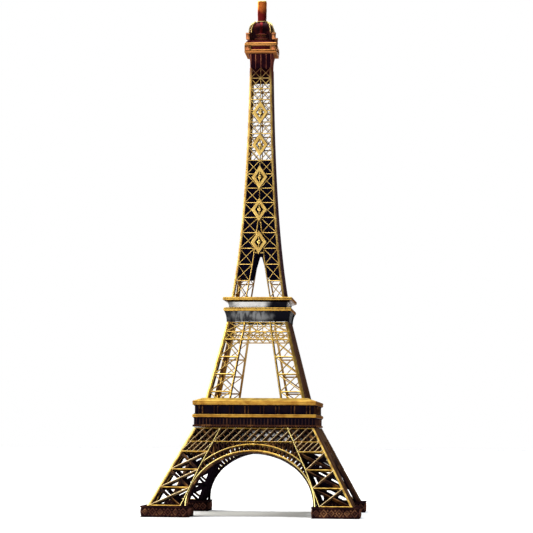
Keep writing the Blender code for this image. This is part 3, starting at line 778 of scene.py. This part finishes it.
def lower_dark_side(bm):
    """The dark bars of the lower stage: falling braces, and the arch's soffit, spokes and posts."""
    outer, inner, line, thick = LOWER_STAGE
    leg_braces(bm, LOWER_STAGE, LEG_LEVELS, None, rounded(0.55, thick, STEP_BACK, 1.5))
    thin, wide = (rounded(0.34, thick * 0.8, 2 * STEP_BACK, root) for root in (0.5, 1.7))
    lattice(bm, outer, FRIEZE_LOW, FRIEZE_HIGH, FRIEZE_PITCH, across_side(inner), -1, thin)
    for hand in (1, -1):
        leg = across_leg(inner, line, hand)
        lattice(bm, outer, FRIEZE_LOW, FRIEZE_HIGH, FRIEZE_PITCH, leg, -1, wide)
        lattice(bm, outer, LEG_TOP, FRIEZE_LOW, LEG_PITCH, leg, -1, wide)

    soffit = [(0.3, -0.3), (-0.3, -0.3), (-0.3, -thick), (0.3, -thick)]
    strip(bm, outer, [arch_point(turn, 0.32) for turn in ARCH_TURNS], soffit)
    spoke = rounded(0.36, thick * 0.9, 1.2 * STEP_BACK, 1.7)
    for turn in angles(-73, 73, 38):
        ends = [arch_point(turn, grow) for grow in (1.2, 3.7)]
        shown = within(*ends, lambda x, z: inner(z) - abs(x))
        if shown:
            strut(bm, outer, *shown, spoke)
    post = rounded(0.42, thick * 0.8, STEP_BACK, 1.4)
    gap, clear, least, braced = 2.3, 4.2, 0.4, 1.6
    reach_of_leg = sorted((half, z) for z, half in LOWER_INNER)
    for step in range(1, 10):
        x = step * gap
        foot, top = arch_height(x, clear), min(FRIEZE_LOW, between(reach_of_leg, x))
        if top - foot >= least:
            both_strips(bm, outer, ((x, foot), (x, top)), post)
        if top - foot > braced:
            both_strips(bm, outer, ((x - gap, arch_height(x - gap, clear)), (x, top)), post)


def web_side(bm, hand, levels):
    """The inner face of a leg beside the front, on the right for hand 1, facing the axis."""
    inner, thick, near_width, far_width = lower_inner, MIDDLE_THICK, 1.6, 1.1
    near = inset(inner, -near_width / 2)
    far = inset(lower_outer, LOWER_THICK + WEB_GAP)
    rail = rounded(1.5, thick)
    rising, falling = rounded(1.1, thick), rounded(1.9, thick, STEP_BACK)
    for z in levels:
        strut(bm, inner, (hand * inner(z), z), (hand * far(z), z), rail)
    for low, high in zip(levels, levels[1:]):
        corners = bay(near, far, low, high)
        cross(bm, inner, corners if hand > 0 else mirrored(corners), rising, falling)
    for place, width in ((near, near_width), (far, far_width)):
        strip(bm, inner, [(hand * place(z), z) for z in levels], rounded(width, thick))


def lower_webs():
    """The two inner faces of each of the four legs."""
    levels = [FOOT_TOP + 0.1, *LEG_LEVELS[1:], FRIEZE_LOW]
    for hand, suffix in ((1, "a"), (-1, "b")):
        for quarter in range(4):
            bm = bmesh.new()
            web_side(bm, hand, levels)
            node = f"lower_web_{CORNERS[quarter if hand == 1 else quarter - 1]}_{suffix}"
            turn = radians(90 * quarter)
            # the webs are near black with no shine, as painted shade inside the legs
            piece(f"{node}_lattice", bm, WEB_SHADE, "dark_lattice", node, turn=turn)


def lower_stage():
    """The feet, the four latticed sides, and the webs and the backing inside them."""
    for quarter, corner in enumerate(CORNERS):
        foot = ("plinth", plinth, FOOT_FINISH, f"foot_{corner}")
        for name, make, finish, *nodes in (foot, ("plinth_relief", plinth_relief, RELIEF)):
            bm = bmesh.new()
            make(bm)
            turn = radians(90 * quarter)
            piece(f"{name}_{corner}", bm, finish, "dark_feet", *nodes, turn=turn)
    four_pieces("lower_lattice", lower_side, GOLD, "gold_lattice", "lower_panel")
    # the cream of the rising bars is a painted highlight
    four_pieces("lower_pale_bars", lower_pale_side, HIGHLIGHT_CREAM_GOLD, "gold_lattice")
    # the brown of the falling braces is painted shade
    four_pieces("lower_dark_bars", lower_dark_side, BROWN, "dark_lattice")
    lower_webs()
    refinish("frieze_backing_frame", BACKING)


# The first platform


def face_at(half):
    """An upright side at that distance from the axis."""
    return lambda z: half


def colonnade(bm, half, low, high, reach, pitch, section):
    """A row of upright ribs across the front."""
    count = int(reach / pitch)
    for step in range(-count, count + 1):
        strut(bm, face_at(half), (step * pitch, low), (step * pitch, high), section)


def first_platform():
    """A ribbed and toothed band, a belt, a gallery of paired columns and a sloping deck."""
    out = half_of("first_platform_deck")
    inside = out - 3.4
    foot, top = BAND_FOOT, BAND_HIGH
    wall = out - 1.0
    profile = [(inside, foot), (out - 0.5, foot),
               *arc_points((out - 0.6, foot + 0.4), (0.25, 0.4), -60, 60, 4),
               (wall, foot + 0.95), (wall, top - 0.5), (out - 0.6, top - 0.3),
               (out - 0.6, top), (inside, top)]
    moulded_piece("platform_1_band", profile, 0.35, GALLERY, "dark_gallery", "first_platform_band")
    front = bmesh.new()
    colonnade(front, wall + 0.3, foot + 0.9, top - 0.4, wall - 0.5, 1.6, rounded(0.5, 0.6))
    ring_piece("platform_1_band_ribs", front, BAND_RIB, "dark_gallery")
    front = bmesh.new()
    tooth = rounded(0.42, 0.5)
    colonnade(front, out - 0.16, foot + 0.1, foot + 0.62, out - 0.9, 0.8, tooth)
    level_strut(front, face_at(out - 0.3), out - 0.6, foot + 0.8, rounded(0.3, 0.5))
    ring_piece("platform_1_teeth", front, TOOTH, "dark_gallery")

    low, high = BAND_HIGH, BELT_HIGH
    profile = half_round(inside, out - 0.5, low, high, out - 0.55, 0.55, 75)
    moulded_piece("platform_1_belt", profile, 0.5,
                  ORANGE_GOLD, "gold_moulding", "first_platform_belt")

    low, high = BELT_HIGH, GALLERY_HIGH + 0.25
    wall = out - 1.5
    profile = [(inside, low), (out - 0.7, low), (out - 0.8, low + 0.3), (wall, low + 0.35),
               (wall, high - 0.5), (out - 0.8, high - 0.35), (out - 0.8, high), (inside, high)]
    moulded_piece("platform_1_gallery", profile, 0.4,
                  GALLERY, "dark_gallery", "first_platform_gallery")
    front = bmesh.new()
    column, pitch, apart = rounded(0.62, 0.9), 7.2, 0.8
    for pair in range(-4, 4):
        for side in (-apart, apart):
            x = (pair + 0.5) * pitch + side
            strut(front, face_at(out - 0.95), (x, low + 0.2), (x, high - 0.2), column)
    ring_piece("platform_1_columns", front, COLUMN, "dark_gallery")

    low, high = GALLERY_HIGH + 0.25, DECK_TOP
    eaves = 53.5
    rest = middle_outer(DECK_TOP) + 1.1
    profile = [(rest - 2, low + 0.3), (out - 0.7, low + 0.3), (out - 0.35, low)]
    profile += arc_points((out - 0.4, low + 0.45), (0.35, 0.4), -50, 60, 5)
    profile += arc_points((out - 0.45, eaves - 0.5), (0.45, 0.55), -50, 70, 7)
    profile += [(rest, high), (0.2, high), (0.2, low + 0.3)]
    moulded_piece("platform_1_deck", profile, 0.5,
                  ORANGE_GOLD, "gold_moulding", "first_platform_deck")


# The middle stage


def middle_side(bm):
    """A side of the middle stage: braced legs, a girder and a braced band under the platform."""
    outer, inner, line, thick = MIDDLE_STAGE
    foot, top = DECK_TOP - 0.5, MIDDLE_TOP
    corner_chord(bm, outer, (foot, top), CHORD, thick, 1.3)
    rising, falling = rounded(0.46, thick * 0.7), rounded(0.42, thick * 0.7, STEP_BACK)
    levels = spread(MIDDLE_RAIL, GIRDER_LOW, 4)
    leg_braces(bm, MIDDLE_STAGE, levels, rising, falling)
    leg_rails(bm, MIDDLE_STAGE, levels[:-1], rounded(0.5, thick * 0.8, 0.1, 0.75))
    below = bay(inner, line, 2 * MIDDLE_RAIL - levels[1], MIDDLE_RAIL)
    for start, end in ((below[0], below[2]), (below[1], below[3])):
        shown = within(start, end, lambda x, z: z - foot)
        both_strips(bm, outer, shown, falling)
    for z in (GIRDER_LOW, GIRDER_HIGH):
        level_strut(bm, outer, line(z), z, rounded(0.42, thick * 0.8, 0.0, 0.6))
    chord = [(inner(z), z) for z in (foot, top)]
    both_strips(bm, outer, chord, rounded(0.85, thick, -0.1, 1.1))

    # the girder's small crosses and rings
    small, small_behind = rounded(0.3, thick * 0.5, 0.05), rounded(0.3, thick * 0.5, STEP_BACK)
    middle, radius = (GIRDER_LOW + GIRDER_HIGH) / 2, 1.15
    near, far = inner(middle), line(middle)
    for left, right, count in ((-far, -near, 2), (-near, near, 4), (near, far, 2)):
        places = spread(left, right, count + 1)
        for start, end in zip(places, places[1:]):
            box = bay(lambda z: start, lambda z: end, GIRDER_LOW, GIRDER_HIGH)
            cross(bm, outer, box, small, small_behind)
        for centre in places[1:-1]:
            ring = arc_points((centre, middle), (radius, radius), 0, 330, 12)
            strip(bm, outer, ring, rounded(0.3, thick * 0.6), closed=True)

    # the braced band under the second platform
    slim, slim_behind = rounded(0.4, thick * 0.6), rounded(0.36, thick * 0.6, STEP_BACK)
    for near, far in ((inner, line), (lambda z: 0, inner)):
        box = bay(near, far, GIRDER_HIGH, top)
        cross(bm, outer, box, slim, slim_behind)
        cross(bm, outer, mirrored(box), slim, slim_behind)
    strut(bm, outer, (0, GIRDER_HIGH), (0, top), slim_behind)
    strut(bm, outer, (-line(top), top - 0.35), (line(top), top - 0.35), slim_behind)


# The second platform


def second_platform():
    """A coved skirt, a ring, a neck and a deck."""
    out = half_of("second_platform_deck")
    inside = 11.0
    foot = MIDDLE_TOP + 0.1
    lip = middle_outer(MIDDLE_TOP) + 0.1
    cove = [(lip + (out - 0.7 - lip) * share**2.4, foot + (SKIRT_HIGH - foot) * share)
            for share in spread(0, 1, 9)]
    moulded_piece("platform_2_skirt", [(inside, foot), *cove, (inside, SKIRT_HIGH)], 0.8,
                  GLOSSY, "dark_gallery", "second_platform_skirt")

    low, high = SKIRT_HIGH, RING_HIGH
    profile = half_round(inside, out - 0.9, low, high, out - 0.9, 0.6, 80)
    moulded_piece("platform_2_ring", profile, 0.5,
                  BRIGHT_GOLD, "gold_moulding", "second_platform_ring")

    low, high = RING_HIGH, NECK_HIGH + 0.25
    neck = [(13.9 + 0.5 * share**2, low + (high - low) * share) for share in spread(0, 1, 5)]
    moulded_piece("platform_2_neck", [(inside, low), *neck, (inside, high)], 0.7,
                  SHEEN, "dark_gallery", "second_platform_neck")

    low, high = NECK_HIGH + 0.25, SPIRE_FOOT
    profile = [(0.2, low), (out - 1.9, low)]
    profile += arc_points((out - 0.5, low + 1.2), (0.5, 0.5), -55, 10, 4)
    profile += arc_points((out - 0.5, high - 0.5), (0.5, 0.5), 0, 90, 5)
    profile += [(0.2, high)]
    moulded_piece("platform_2_deck", profile, 0.5,
                  BRIGHT_GOLD, "gold_moulding", "second_platform_deck")


# The spire


def rows_between(low, high, rows):
    """Heights from low to high: each row is a little lower than the one below."""
    shares = [0.977**row for row in range(rows)]
    return [low + (high - low) * sum(shares[:row]) / sum(shares) for row in range(rows)]


def spire_side(bm):
    """A side of the spire: two legs at the foot that close up into one lattice."""
    outer, inner, line, thick = SPIRE_STAGE
    foot, merge = SPIRE_FOOT - 0.5, SPIRE_INNER[-1][0]
    corner_chord(bm, outer, spread(foot, SPIRE_TOP, 24), SLIM_CHORD, thick, 0.75)
    rail = rounded(0.44, thick * 0.8, 0.06, 0.6)
    rising, falling = rounded(0.4, thick * 0.7), rounded(0.36, thick * 0.7, STEP_BACK)
    levels = rows_between(SPIRE_FOOT, SPIRE_NARROWS, 11) + rows_between(SPIRE_NARROWS, SPIRE_TOP, 6)
    levels.append(SPIRE_TOP)
    leg_braces(bm, SPIRE_STAGE, levels, rising, falling, 3)
    leg_rails(bm, SPIRE_STAGE, [z for z in levels[1:-1] if z < SPLIT_TOP], rail)
    for z in levels[1:-1]:
        if z >= SPLIT_TOP:
            level_strut(bm, outer, line(z), z, rail)
    chord = [(inner(z), z) for z in (foot, *spread(SPIRE_FOOT, merge, 12))]
    both_strips(bm, outer, chord, rounded(0.7, thick, -0.06))
    strip(bm, outer, [(0, z) for z in spread(merge, SPIRE_TOP, 12)], rounded(0.46, thick))
    brow = SPLIT_TOP + 0.4
    level_strut(bm, outer, inner(brow), brow, rail)


def head():
    """The fluted head of the spire, flared under the gallery."""
    neck, half = SPIRE_TOP, 5.15

    def face(z):
        return half + 0.8 * max((z - neck) / (HEAD_TOP - neck), 0) ** 3

    flare = [(face(z), z) for z in spread(neck, HEAD_TOP, 8)]
    profile = [(3.9, low_of("spire_head")), (3.9, neck), *flare, (0.2, HEAD_TOP)]
    moulded_piece("spire_capital", profile, 0.4,
                  HEAD_BLACK, "dark_gallery", "spire_head", closed=False)
    front = bmesh.new()
    for place, width in ((-0.95, 0.55), (-0.5, 0.3), (0, 0.42), (0.5, 0.3), (0.95, 0.55)):
        points = [(place * half, z) for z in spread(neck - 0.4, HEAD_TOP, 8)]
        strip(front, inset(face, -0.18), points, rounded(width, 0.6))
    ring_piece("spire_capital_ribs", front, FLUTE, "dark_gallery")


def medallion(bm, half_width, half_height):
    """A pierced lozenge with a boss in the middle and a bud at each end, lying in XY."""
    bar = 1.65
    width, tall = half_width - bar * 0.55, half_height - bar * 0.5
    out = Vector((0, 0, 1))
    ring = [Vector((x, y, 0)) for x, y in lozenge(width, tall)]
    sweep(bm, ring, [out] * 4, bevelled(bar, 0.9), closed=True)
    lathe(bm, [(0.2, 0.1), (0.7, 0.0), (1.0, -0.3), (1.1, -0.9)], 20)
    for end in (1, -1):
        neck = [Vector((0, end * 0.8, 0)), Vector((0, end * tall, 0))]
        sweep(bm, neck, [out] * 2, rounded(0.6, 0.85))
        bud = [(0.15, 0.05), (0.6, -0.08), (0.9, -0.45), (0.95, -0.9)]
        lathe(bm, bud, 16, (0, end * (half_height - 0.95)))


def ornaments():
    """The column of raised medallions on the front of the spire."""
    for number in range(1, 6):
        node = f"front_ornament_{number}"
        low, high = corners_of(node)
        z = (low.z + high.z) / 2
        lean = atan2(spire_outer(low.z) - spire_outer(high.z), high.z - low.z)
        bm = bmesh.new()
        medallion(bm, (high.x - low.x) / 2, (high.z - low.z) / 2)
        upright = Matrix.Rotation(radians(90) - lean, 4, "X")
        place = Matrix.Translation((0, -spire_outer(z) - 1.15, z))
        bmesh.ops.transform(bm, matrix=place @ upright, verts=bm.verts[:])
        piece(f"medallion_{number}", bm, FLAT_GOLD, "gold_moulding", node)


def spire():
    """The latticed sides round a dark core, the head and the ornaments."""
    four_pieces("spire_lattice", spire_side, SPIRE_GOLD, "gold_lattice", "spire_panel")
    refinish("spire_core", SHADOW)
    head()
    ornaments()


# The top


def top_gallery():
    """A square frame with a long window between two corner blocks on each side."""
    out, thick = half_of("top_gallery"), 1.3
    low, high = low_of("top_gallery"), TOP_GALLERY_HIGH
    bm = bmesh.new()
    window = (224.45, 226.25)
    for foot, top in ((low, window[0]), (window[1], high)):
        profile = half_round(out - thick, out - 0.35, foot, top, out - 0.45, 0.4, 70, 6)
        moulding(bm, profile, 0.5)
    slot = 4.5
    front = bmesh.new()
    for side in (1, -1):
        near, far = sorted((side * slot, side * (out - 0.12)))
        block(front, (near, 0.12 - out, low + 0.1), (far, thick - out, high - 0.3), 0.3)
    four_times(front)
    add_to(bm, front)
    piece("summit_gallery", bm, SUMMIT, "copper_top", "top_gallery")
    front = bmesh.new()
    for side in (1, -1):
        middle = side * (slot + out) / 2
        stud(front, middle, (low + high) / 2, 1.15, 1.25, -out, 0.6 - out, 0.45)
    ring_piece("summit_gallery_bosses", front, BOSS, "copper_top")

    room = out - thick - 0.1
    step = 7.4
    profile = [(room, low), (room, high - 0.2), (step - 0.2, high), (step, high + 0.35),
               (step - 0.25, high + 0.7), (step - 0.6, high + 0.8),
               (step - 0.6, PLINTH_HIGH - 0.2), (step - 0.8, PLINTH_HIGH)]
    moulded_piece("cupola_base", profile, 0.5, DEEP_RED, "dark_top", "cupola_plinth", closed=False)


def cupola_half(z):
    """The cupola's half width at a height: upright walls under a rounded vault."""
    wide, narrow = half_of("cupola"), 2.4
    rise = min(max(z - CUPOLA_SHOULDER, 0) / (CUPOLA_TOP - CUPOLA_SHOULDER), 1)
    return narrow + (wide - narrow) * sqrt(1 - rise**2)


def vault_heights():
    """The levels of the vault's outline, from its foot to its crown."""
    return [low_of("cupola"), *spread(CUPOLA_SHOULDER, CUPOLA_TOP, 12)]


def lantern():
    """Round rims and an upright on each side, sunk in the vault's walls."""
    foot = low_of("cupola")
    wall, edge = cupola_half(foot) - 0.2, 0.12
    bm = bmesh.new()
    for rise, tall, reach in ((0.0, 0.5, 3.9), (0.75, 0.35, 3.2), (1.9, 0.3, 2.4), (2.7, 0.45, 2.7)):
        radius, low = hypot(wall, reach), foot + rise
        top = low + tall
        profile = [(radius - edge, low), (radius, low + edge),
                   (radius, top - edge), (radius - edge, top)]
        lathe(bm, profile, 64)
    front = bmesh.new()
    strip(front, cupola_half, [(0, z) for z in vault_heights()[:-1]], rounded(1.7, 0.9, -0.05))
    four_times(front)
    add_to(bm, front)
    piece("cupola_lantern", bm, DEEP_RED, "dark_top")


def vault_ribs():
    """The ribs up the corners, their bright inner edges, and the posts at their feet."""
    heights = vault_heights()[:-1]
    for quarter, corner in enumerate(CORNERS):
        bm = bmesh.new()
        points = [Vector((cupola_half(z) * sqrt(2) + 0.15, 0, z)) for z in heights]
        outs = []
        for before, after in zip([points[0], *points], [*points[1:], points[-1]]):
            along = (after - before).normalized()
            outs.append(Vector((along.z, 0, -along.x)))
        sweep(bm, points, outs, rounded(1.4, 1.6, 0.0, 2.2))
        name = f"cupola_buttress_{corner}"
        piece(f"{name}_rib", bm, VAULT_RIB, "copper_top", name, turn=radians(90 * quarter - 45))
    front = bmesh.new()
    points = [(cupola_half(z) - 0.8, z) for z in heights[1:]]
    both_strips(front, cupola_half, points, rounded(0.7, 1.3, -0.75))
    ring_piece("cupola_arrises", front, RIB, "copper_top")
    front = bmesh.new()
    middle, reach, foot, top = 6.35, 0.95, heights[0], CUPOLA_SHOULDER - 0.35
    shaft, cap = (reach, foot, top, 0.3), (reach + 0.08, top - 0.55, top + 0.1, 0.22)
    for half, low, high, edge in (shaft, cap):
        near, far = middle - half, middle + half
        block(front, (near, near, low), (far, far, high), edge)
    ring_piece("cupola_posts", front, BOSS, "copper_top")


def mast():
    """A square bar with a rounded tip, and a collar round its foot."""
    low, high = corners_of("mast")
    half, edge = high.x, 0.55
    shaft = [(half - 0.08, low.z), (half - 0.08, low.z + 2), (half, low.z + 3)]
    shaft += arc_points((half - edge, high.z - edge), (edge, edge), 0, 90, 6)
    moulded_piece("mast_bar", shaft, edge, MAST, "copper_top", "mast", closed=False)
    collar = [(half - 0.3, low.z - 0.25), (half + 0.3, low.z - 0.15),
              (half + 0.3, low.z + 0.1), (half - 0.2, low.z + 0.3)]
    moulded_piece("mast_collar", collar, 0.5, RIB, "copper_top", closed=False)


def cupola():
    """The dark vault with the lantern showing in its sides, its ribs and the mast."""
    profile = [(cupola_half(z) - 0.2, z) for z in vault_heights()]
    moulded_piece("cupola_vault", profile, 0.5, VAULT, "dark_top", "cupola", closed=False)
    lantern()
    vault_ribs()
    mast()


# The studio


def area_light(name, place, size, power, colour):
    """A rectangular light that points at the middle of the tower."""
    light = bpy.data.lights.new(name, "AREA")
    light.shape = "RECTANGLE"
    light.size, light.size_y = size
    light.energy = power
    light.color = colour
    made = placed(name, light)
    made.location = place
    middle = Vector((0, 0, TOWER_TOP * MM / 2))
    made.rotation_euler = (middle - Vector(place)).to_track_quat("-Z", "Y").to_euler()


def studio():
    """A pale floor, three soft lights and the sky."""
    bm = bmesh.new()
    bmesh.ops.create_grid(bm, x_segments=2, y_segments=2, size=6)
    mesh = bpy.data.meshes.new("floor")
    bm.to_mesh(mesh)
    bm.free()
    mesh.materials.append(pale_floor())
    placed("floor", mesh)
    area_light("key", (-1.2, -0.05, 0.65), (1.1, 0.55), 24, (1.0, 0.98, 0.90))
    area_light("front", (-0.3, -1.4, 0.4), (0.5, 0.5), 1.6, (1.0, 0.97, 0.93))
    area_light("back", (-0.5, 1.3, 0.35), (1.5, 0.5), 9, (1.0, 0.97, 0.88))
    bpy.context.scene.view_settings.view_transform = "Standard"

    # the sky is dim at the horizon and bright overhead, and the camera sees it as plain white
    world = bpy.data.worlds.new("studio")
    bpy.context.scene.world = world
    world.use_nodes = True
    sky = Nodes(world.node_tree)
    height = sky.split(sky.node("TexCoord").outputs["Generated"])[2]
    dome = sky.node("Background", (0.94, 0.96, 1.0, 1), sky.ramp(height, 0.80, 0.98, 0.11, 6.0))
    white = sky.node("Background", (1, 1, 1, 1), 1.0)
    seen = sky.node("LightPath").outputs["Is Camera Ray"]
    mixed = sky.node("MixShader", seen, dome.outputs[0], white.outputs[0])
    sky.feed(sky.tree.nodes["World Output"].inputs["Surface"], mixed.outputs[0])


def camera():
    """A long lens near the ground, a little right of square on, looking slightly up."""
    place, target = Vector((0.0791, -0.9060, 0.0357)), Vector((0.0029, 0.0, 0.1191))
    roll = Matrix.Rotation(radians(0.361), 3, "Z")
    data = bpy.data.cameras.new("camera")
    data.lens = 127.15
    data.sensor_width = 36
    data.clip_start = 0.01
    made = placed("camera", data)
    aim = (target - place).to_track_quat("-Z", "Y").to_matrix()
    made.matrix_world = Matrix.Translation(place) @ (aim @ roll).to_4x4()
    bpy.context.scene.camera = made


# in these golds the fifth colour is painted shade on the right, and glint a painted highlight
INWARD_PATINA_AND_SHADE = (0.008, 0.005, 0.008)
GOLD = gold("antique_gold", (0.66, 0.42, 0.085), (0.36, 0.19, 0.035), INWARD_PATINA_AND_SHADE,
            (0.055, 0.027, 0.016), (0.08, 0.42), right=True, glint=0.9)
HIGHLIGHT_CREAM_GOLD = gold("highlight_cream_gold", (0.88, 0.68, 0.36), (0.62, 0.42, 0.19), INWARD_PATINA_AND_SHADE,
                  (0.10, 0.055, 0.030), right=True)
PALE_GOLD = gold("lattice_gold", (0.76, 0.50, 0.11), (0.50, 0.29, 0.06), (0.42, 0.27, 0.10),
                 (0.070, 0.034, 0.022), (0.36, 0.8), right=True)
SPIRE_GOLD = gold("spire_gold", (0.86, 0.58, 0.17), (0.60, 0.36, 0.09), (0.26, 0.14, 0.045),
                  (0.045, 0.022, 0.026), (0.36, 0.8), right=True, shade=0.75)
BRIGHT_GOLD = gold("rubbed_gold", (0.56, 0.34, 0.065), (0.40, 0.21, 0.035),
                   shade_colour=(0.16, 0.07, 0.022), dull=0.3)
ORANGE_GOLD = gold("orange_gold", (0.46, 0.25, 0.042), (0.32, 0.15, 0.024),
                   shade_colour=(0.16, 0.07, 0.022), dull=0.3)
FLAT_GOLD = gold("flat_gold", (0.84, 0.58, 0.17), (0.72, 0.46, 0.12))
BROWN = bronze("brown_bronze", (0.022, 0.009, 0.007), (0.30, 0.14, 0.045), 0.36)
WEB_SHADE = bronze("blackened_bronze", (0.007, 0.004, 0.007), (0.014, 0.007, 0.008), 0.5, False)
GALLERY = bronze("gallery_bronze", (0.006, 0.004, 0.009), (0.012, 0.006, 0.008), 0.42, False)
TOOTH = bronze("tooth_bronze", (0.10, 0.036, 0.016), (0.34, 0.15, 0.045), 0.36)
BAND_RIB = bronze("rib_bronze", (0.032, 0.013, 0.012), (0.13, 0.055, 0.028), 0.40)
# the pale sheens of the skirt, the neck and the frieze backing are painted reflections
GLOSSY = gloss("polished_black", (0.004, 0.004, 0.006), (0.14, 0.14, 0.14), -3.5, 13, 0.85)
SHEEN = gloss("sheen_black", (0.004, 0.004, 0.006), (0.46, 0.45, 0.44), -4, 13)
BACKING = gloss("frieze_black", (0.004, 0.003, 0.005), (0.62, 0.60, 0.58), 10, 17, 0.9, True)
SHADOW = bronze("core_black", (0.004, 0.003, 0.011), (0.006, 0.004, 0.014), 0.6, False)
HEAD_BLACK = bronze("head_black", (0.012, 0.003, 0.006), (0.040, 0.007, 0.008), 0.5, False)
FLUTE = bronze("flute_bronze", (0.16, 0.042, 0.030), (0.42, 0.16, 0.08), 0.34)
COLUMN = bronze("column_bronze", (0.025, 0.010, 0.008), (0.30, 0.14, 0.045), 0.34)
FOOT_FINISH = bronze("foot_bronze", (0.014, 0.005, 0.006), (0.08, 0.028, 0.018), 0.4)
RELIEF = bronze("relief_bronze", (0.07, 0.026, 0.018), (0.34, 0.16, 0.07), 0.34)
SUMMIT = copper("summit_copper", 222, 228.5, (0.38, 0.14, 0.036), (0.47, 0.21, 0.055))
BOSS = copper("boss_copper", 222, 236, (0.52, 0.17, 0.06), (0.62, 0.25, 0.10))
VAULT = bronze("vault_black", (0.015, 0.004, 0.006), (0.10, 0.013, 0.013), 0.36)
VAULT_RIB = bronze("vault_corner", (0.014, 0.005, 0.006), (0.08, 0.02, 0.012), 0.4)
RIB = copper("rib_copper", 230, 236, (0.50, 0.18, 0.05), (0.80, 0.58, 0.22))
# on the mast the dark red foot is painted shade, the orange top painted light and the yellow tip a
# painted highlight
MAST = copper("mast_copper", 243.2, 247.6, (0.12, 0.009, 0.008), (0.86, 0.22, 0.04),
              tip=(0.9, 0.66, 0.22))
DEEP_RED = copper("deep_red", 228, 238, (0.07, 0.007, 0.009), (0.12, 0.008, 0.009))

camera()
studio()
lower_stage()
first_platform()
four_pieces("middle_lattice", middle_side, PALE_GOLD, "gold_lattice", "middle_panel")
second_platform()
spire()
top_gallery()
cupola()
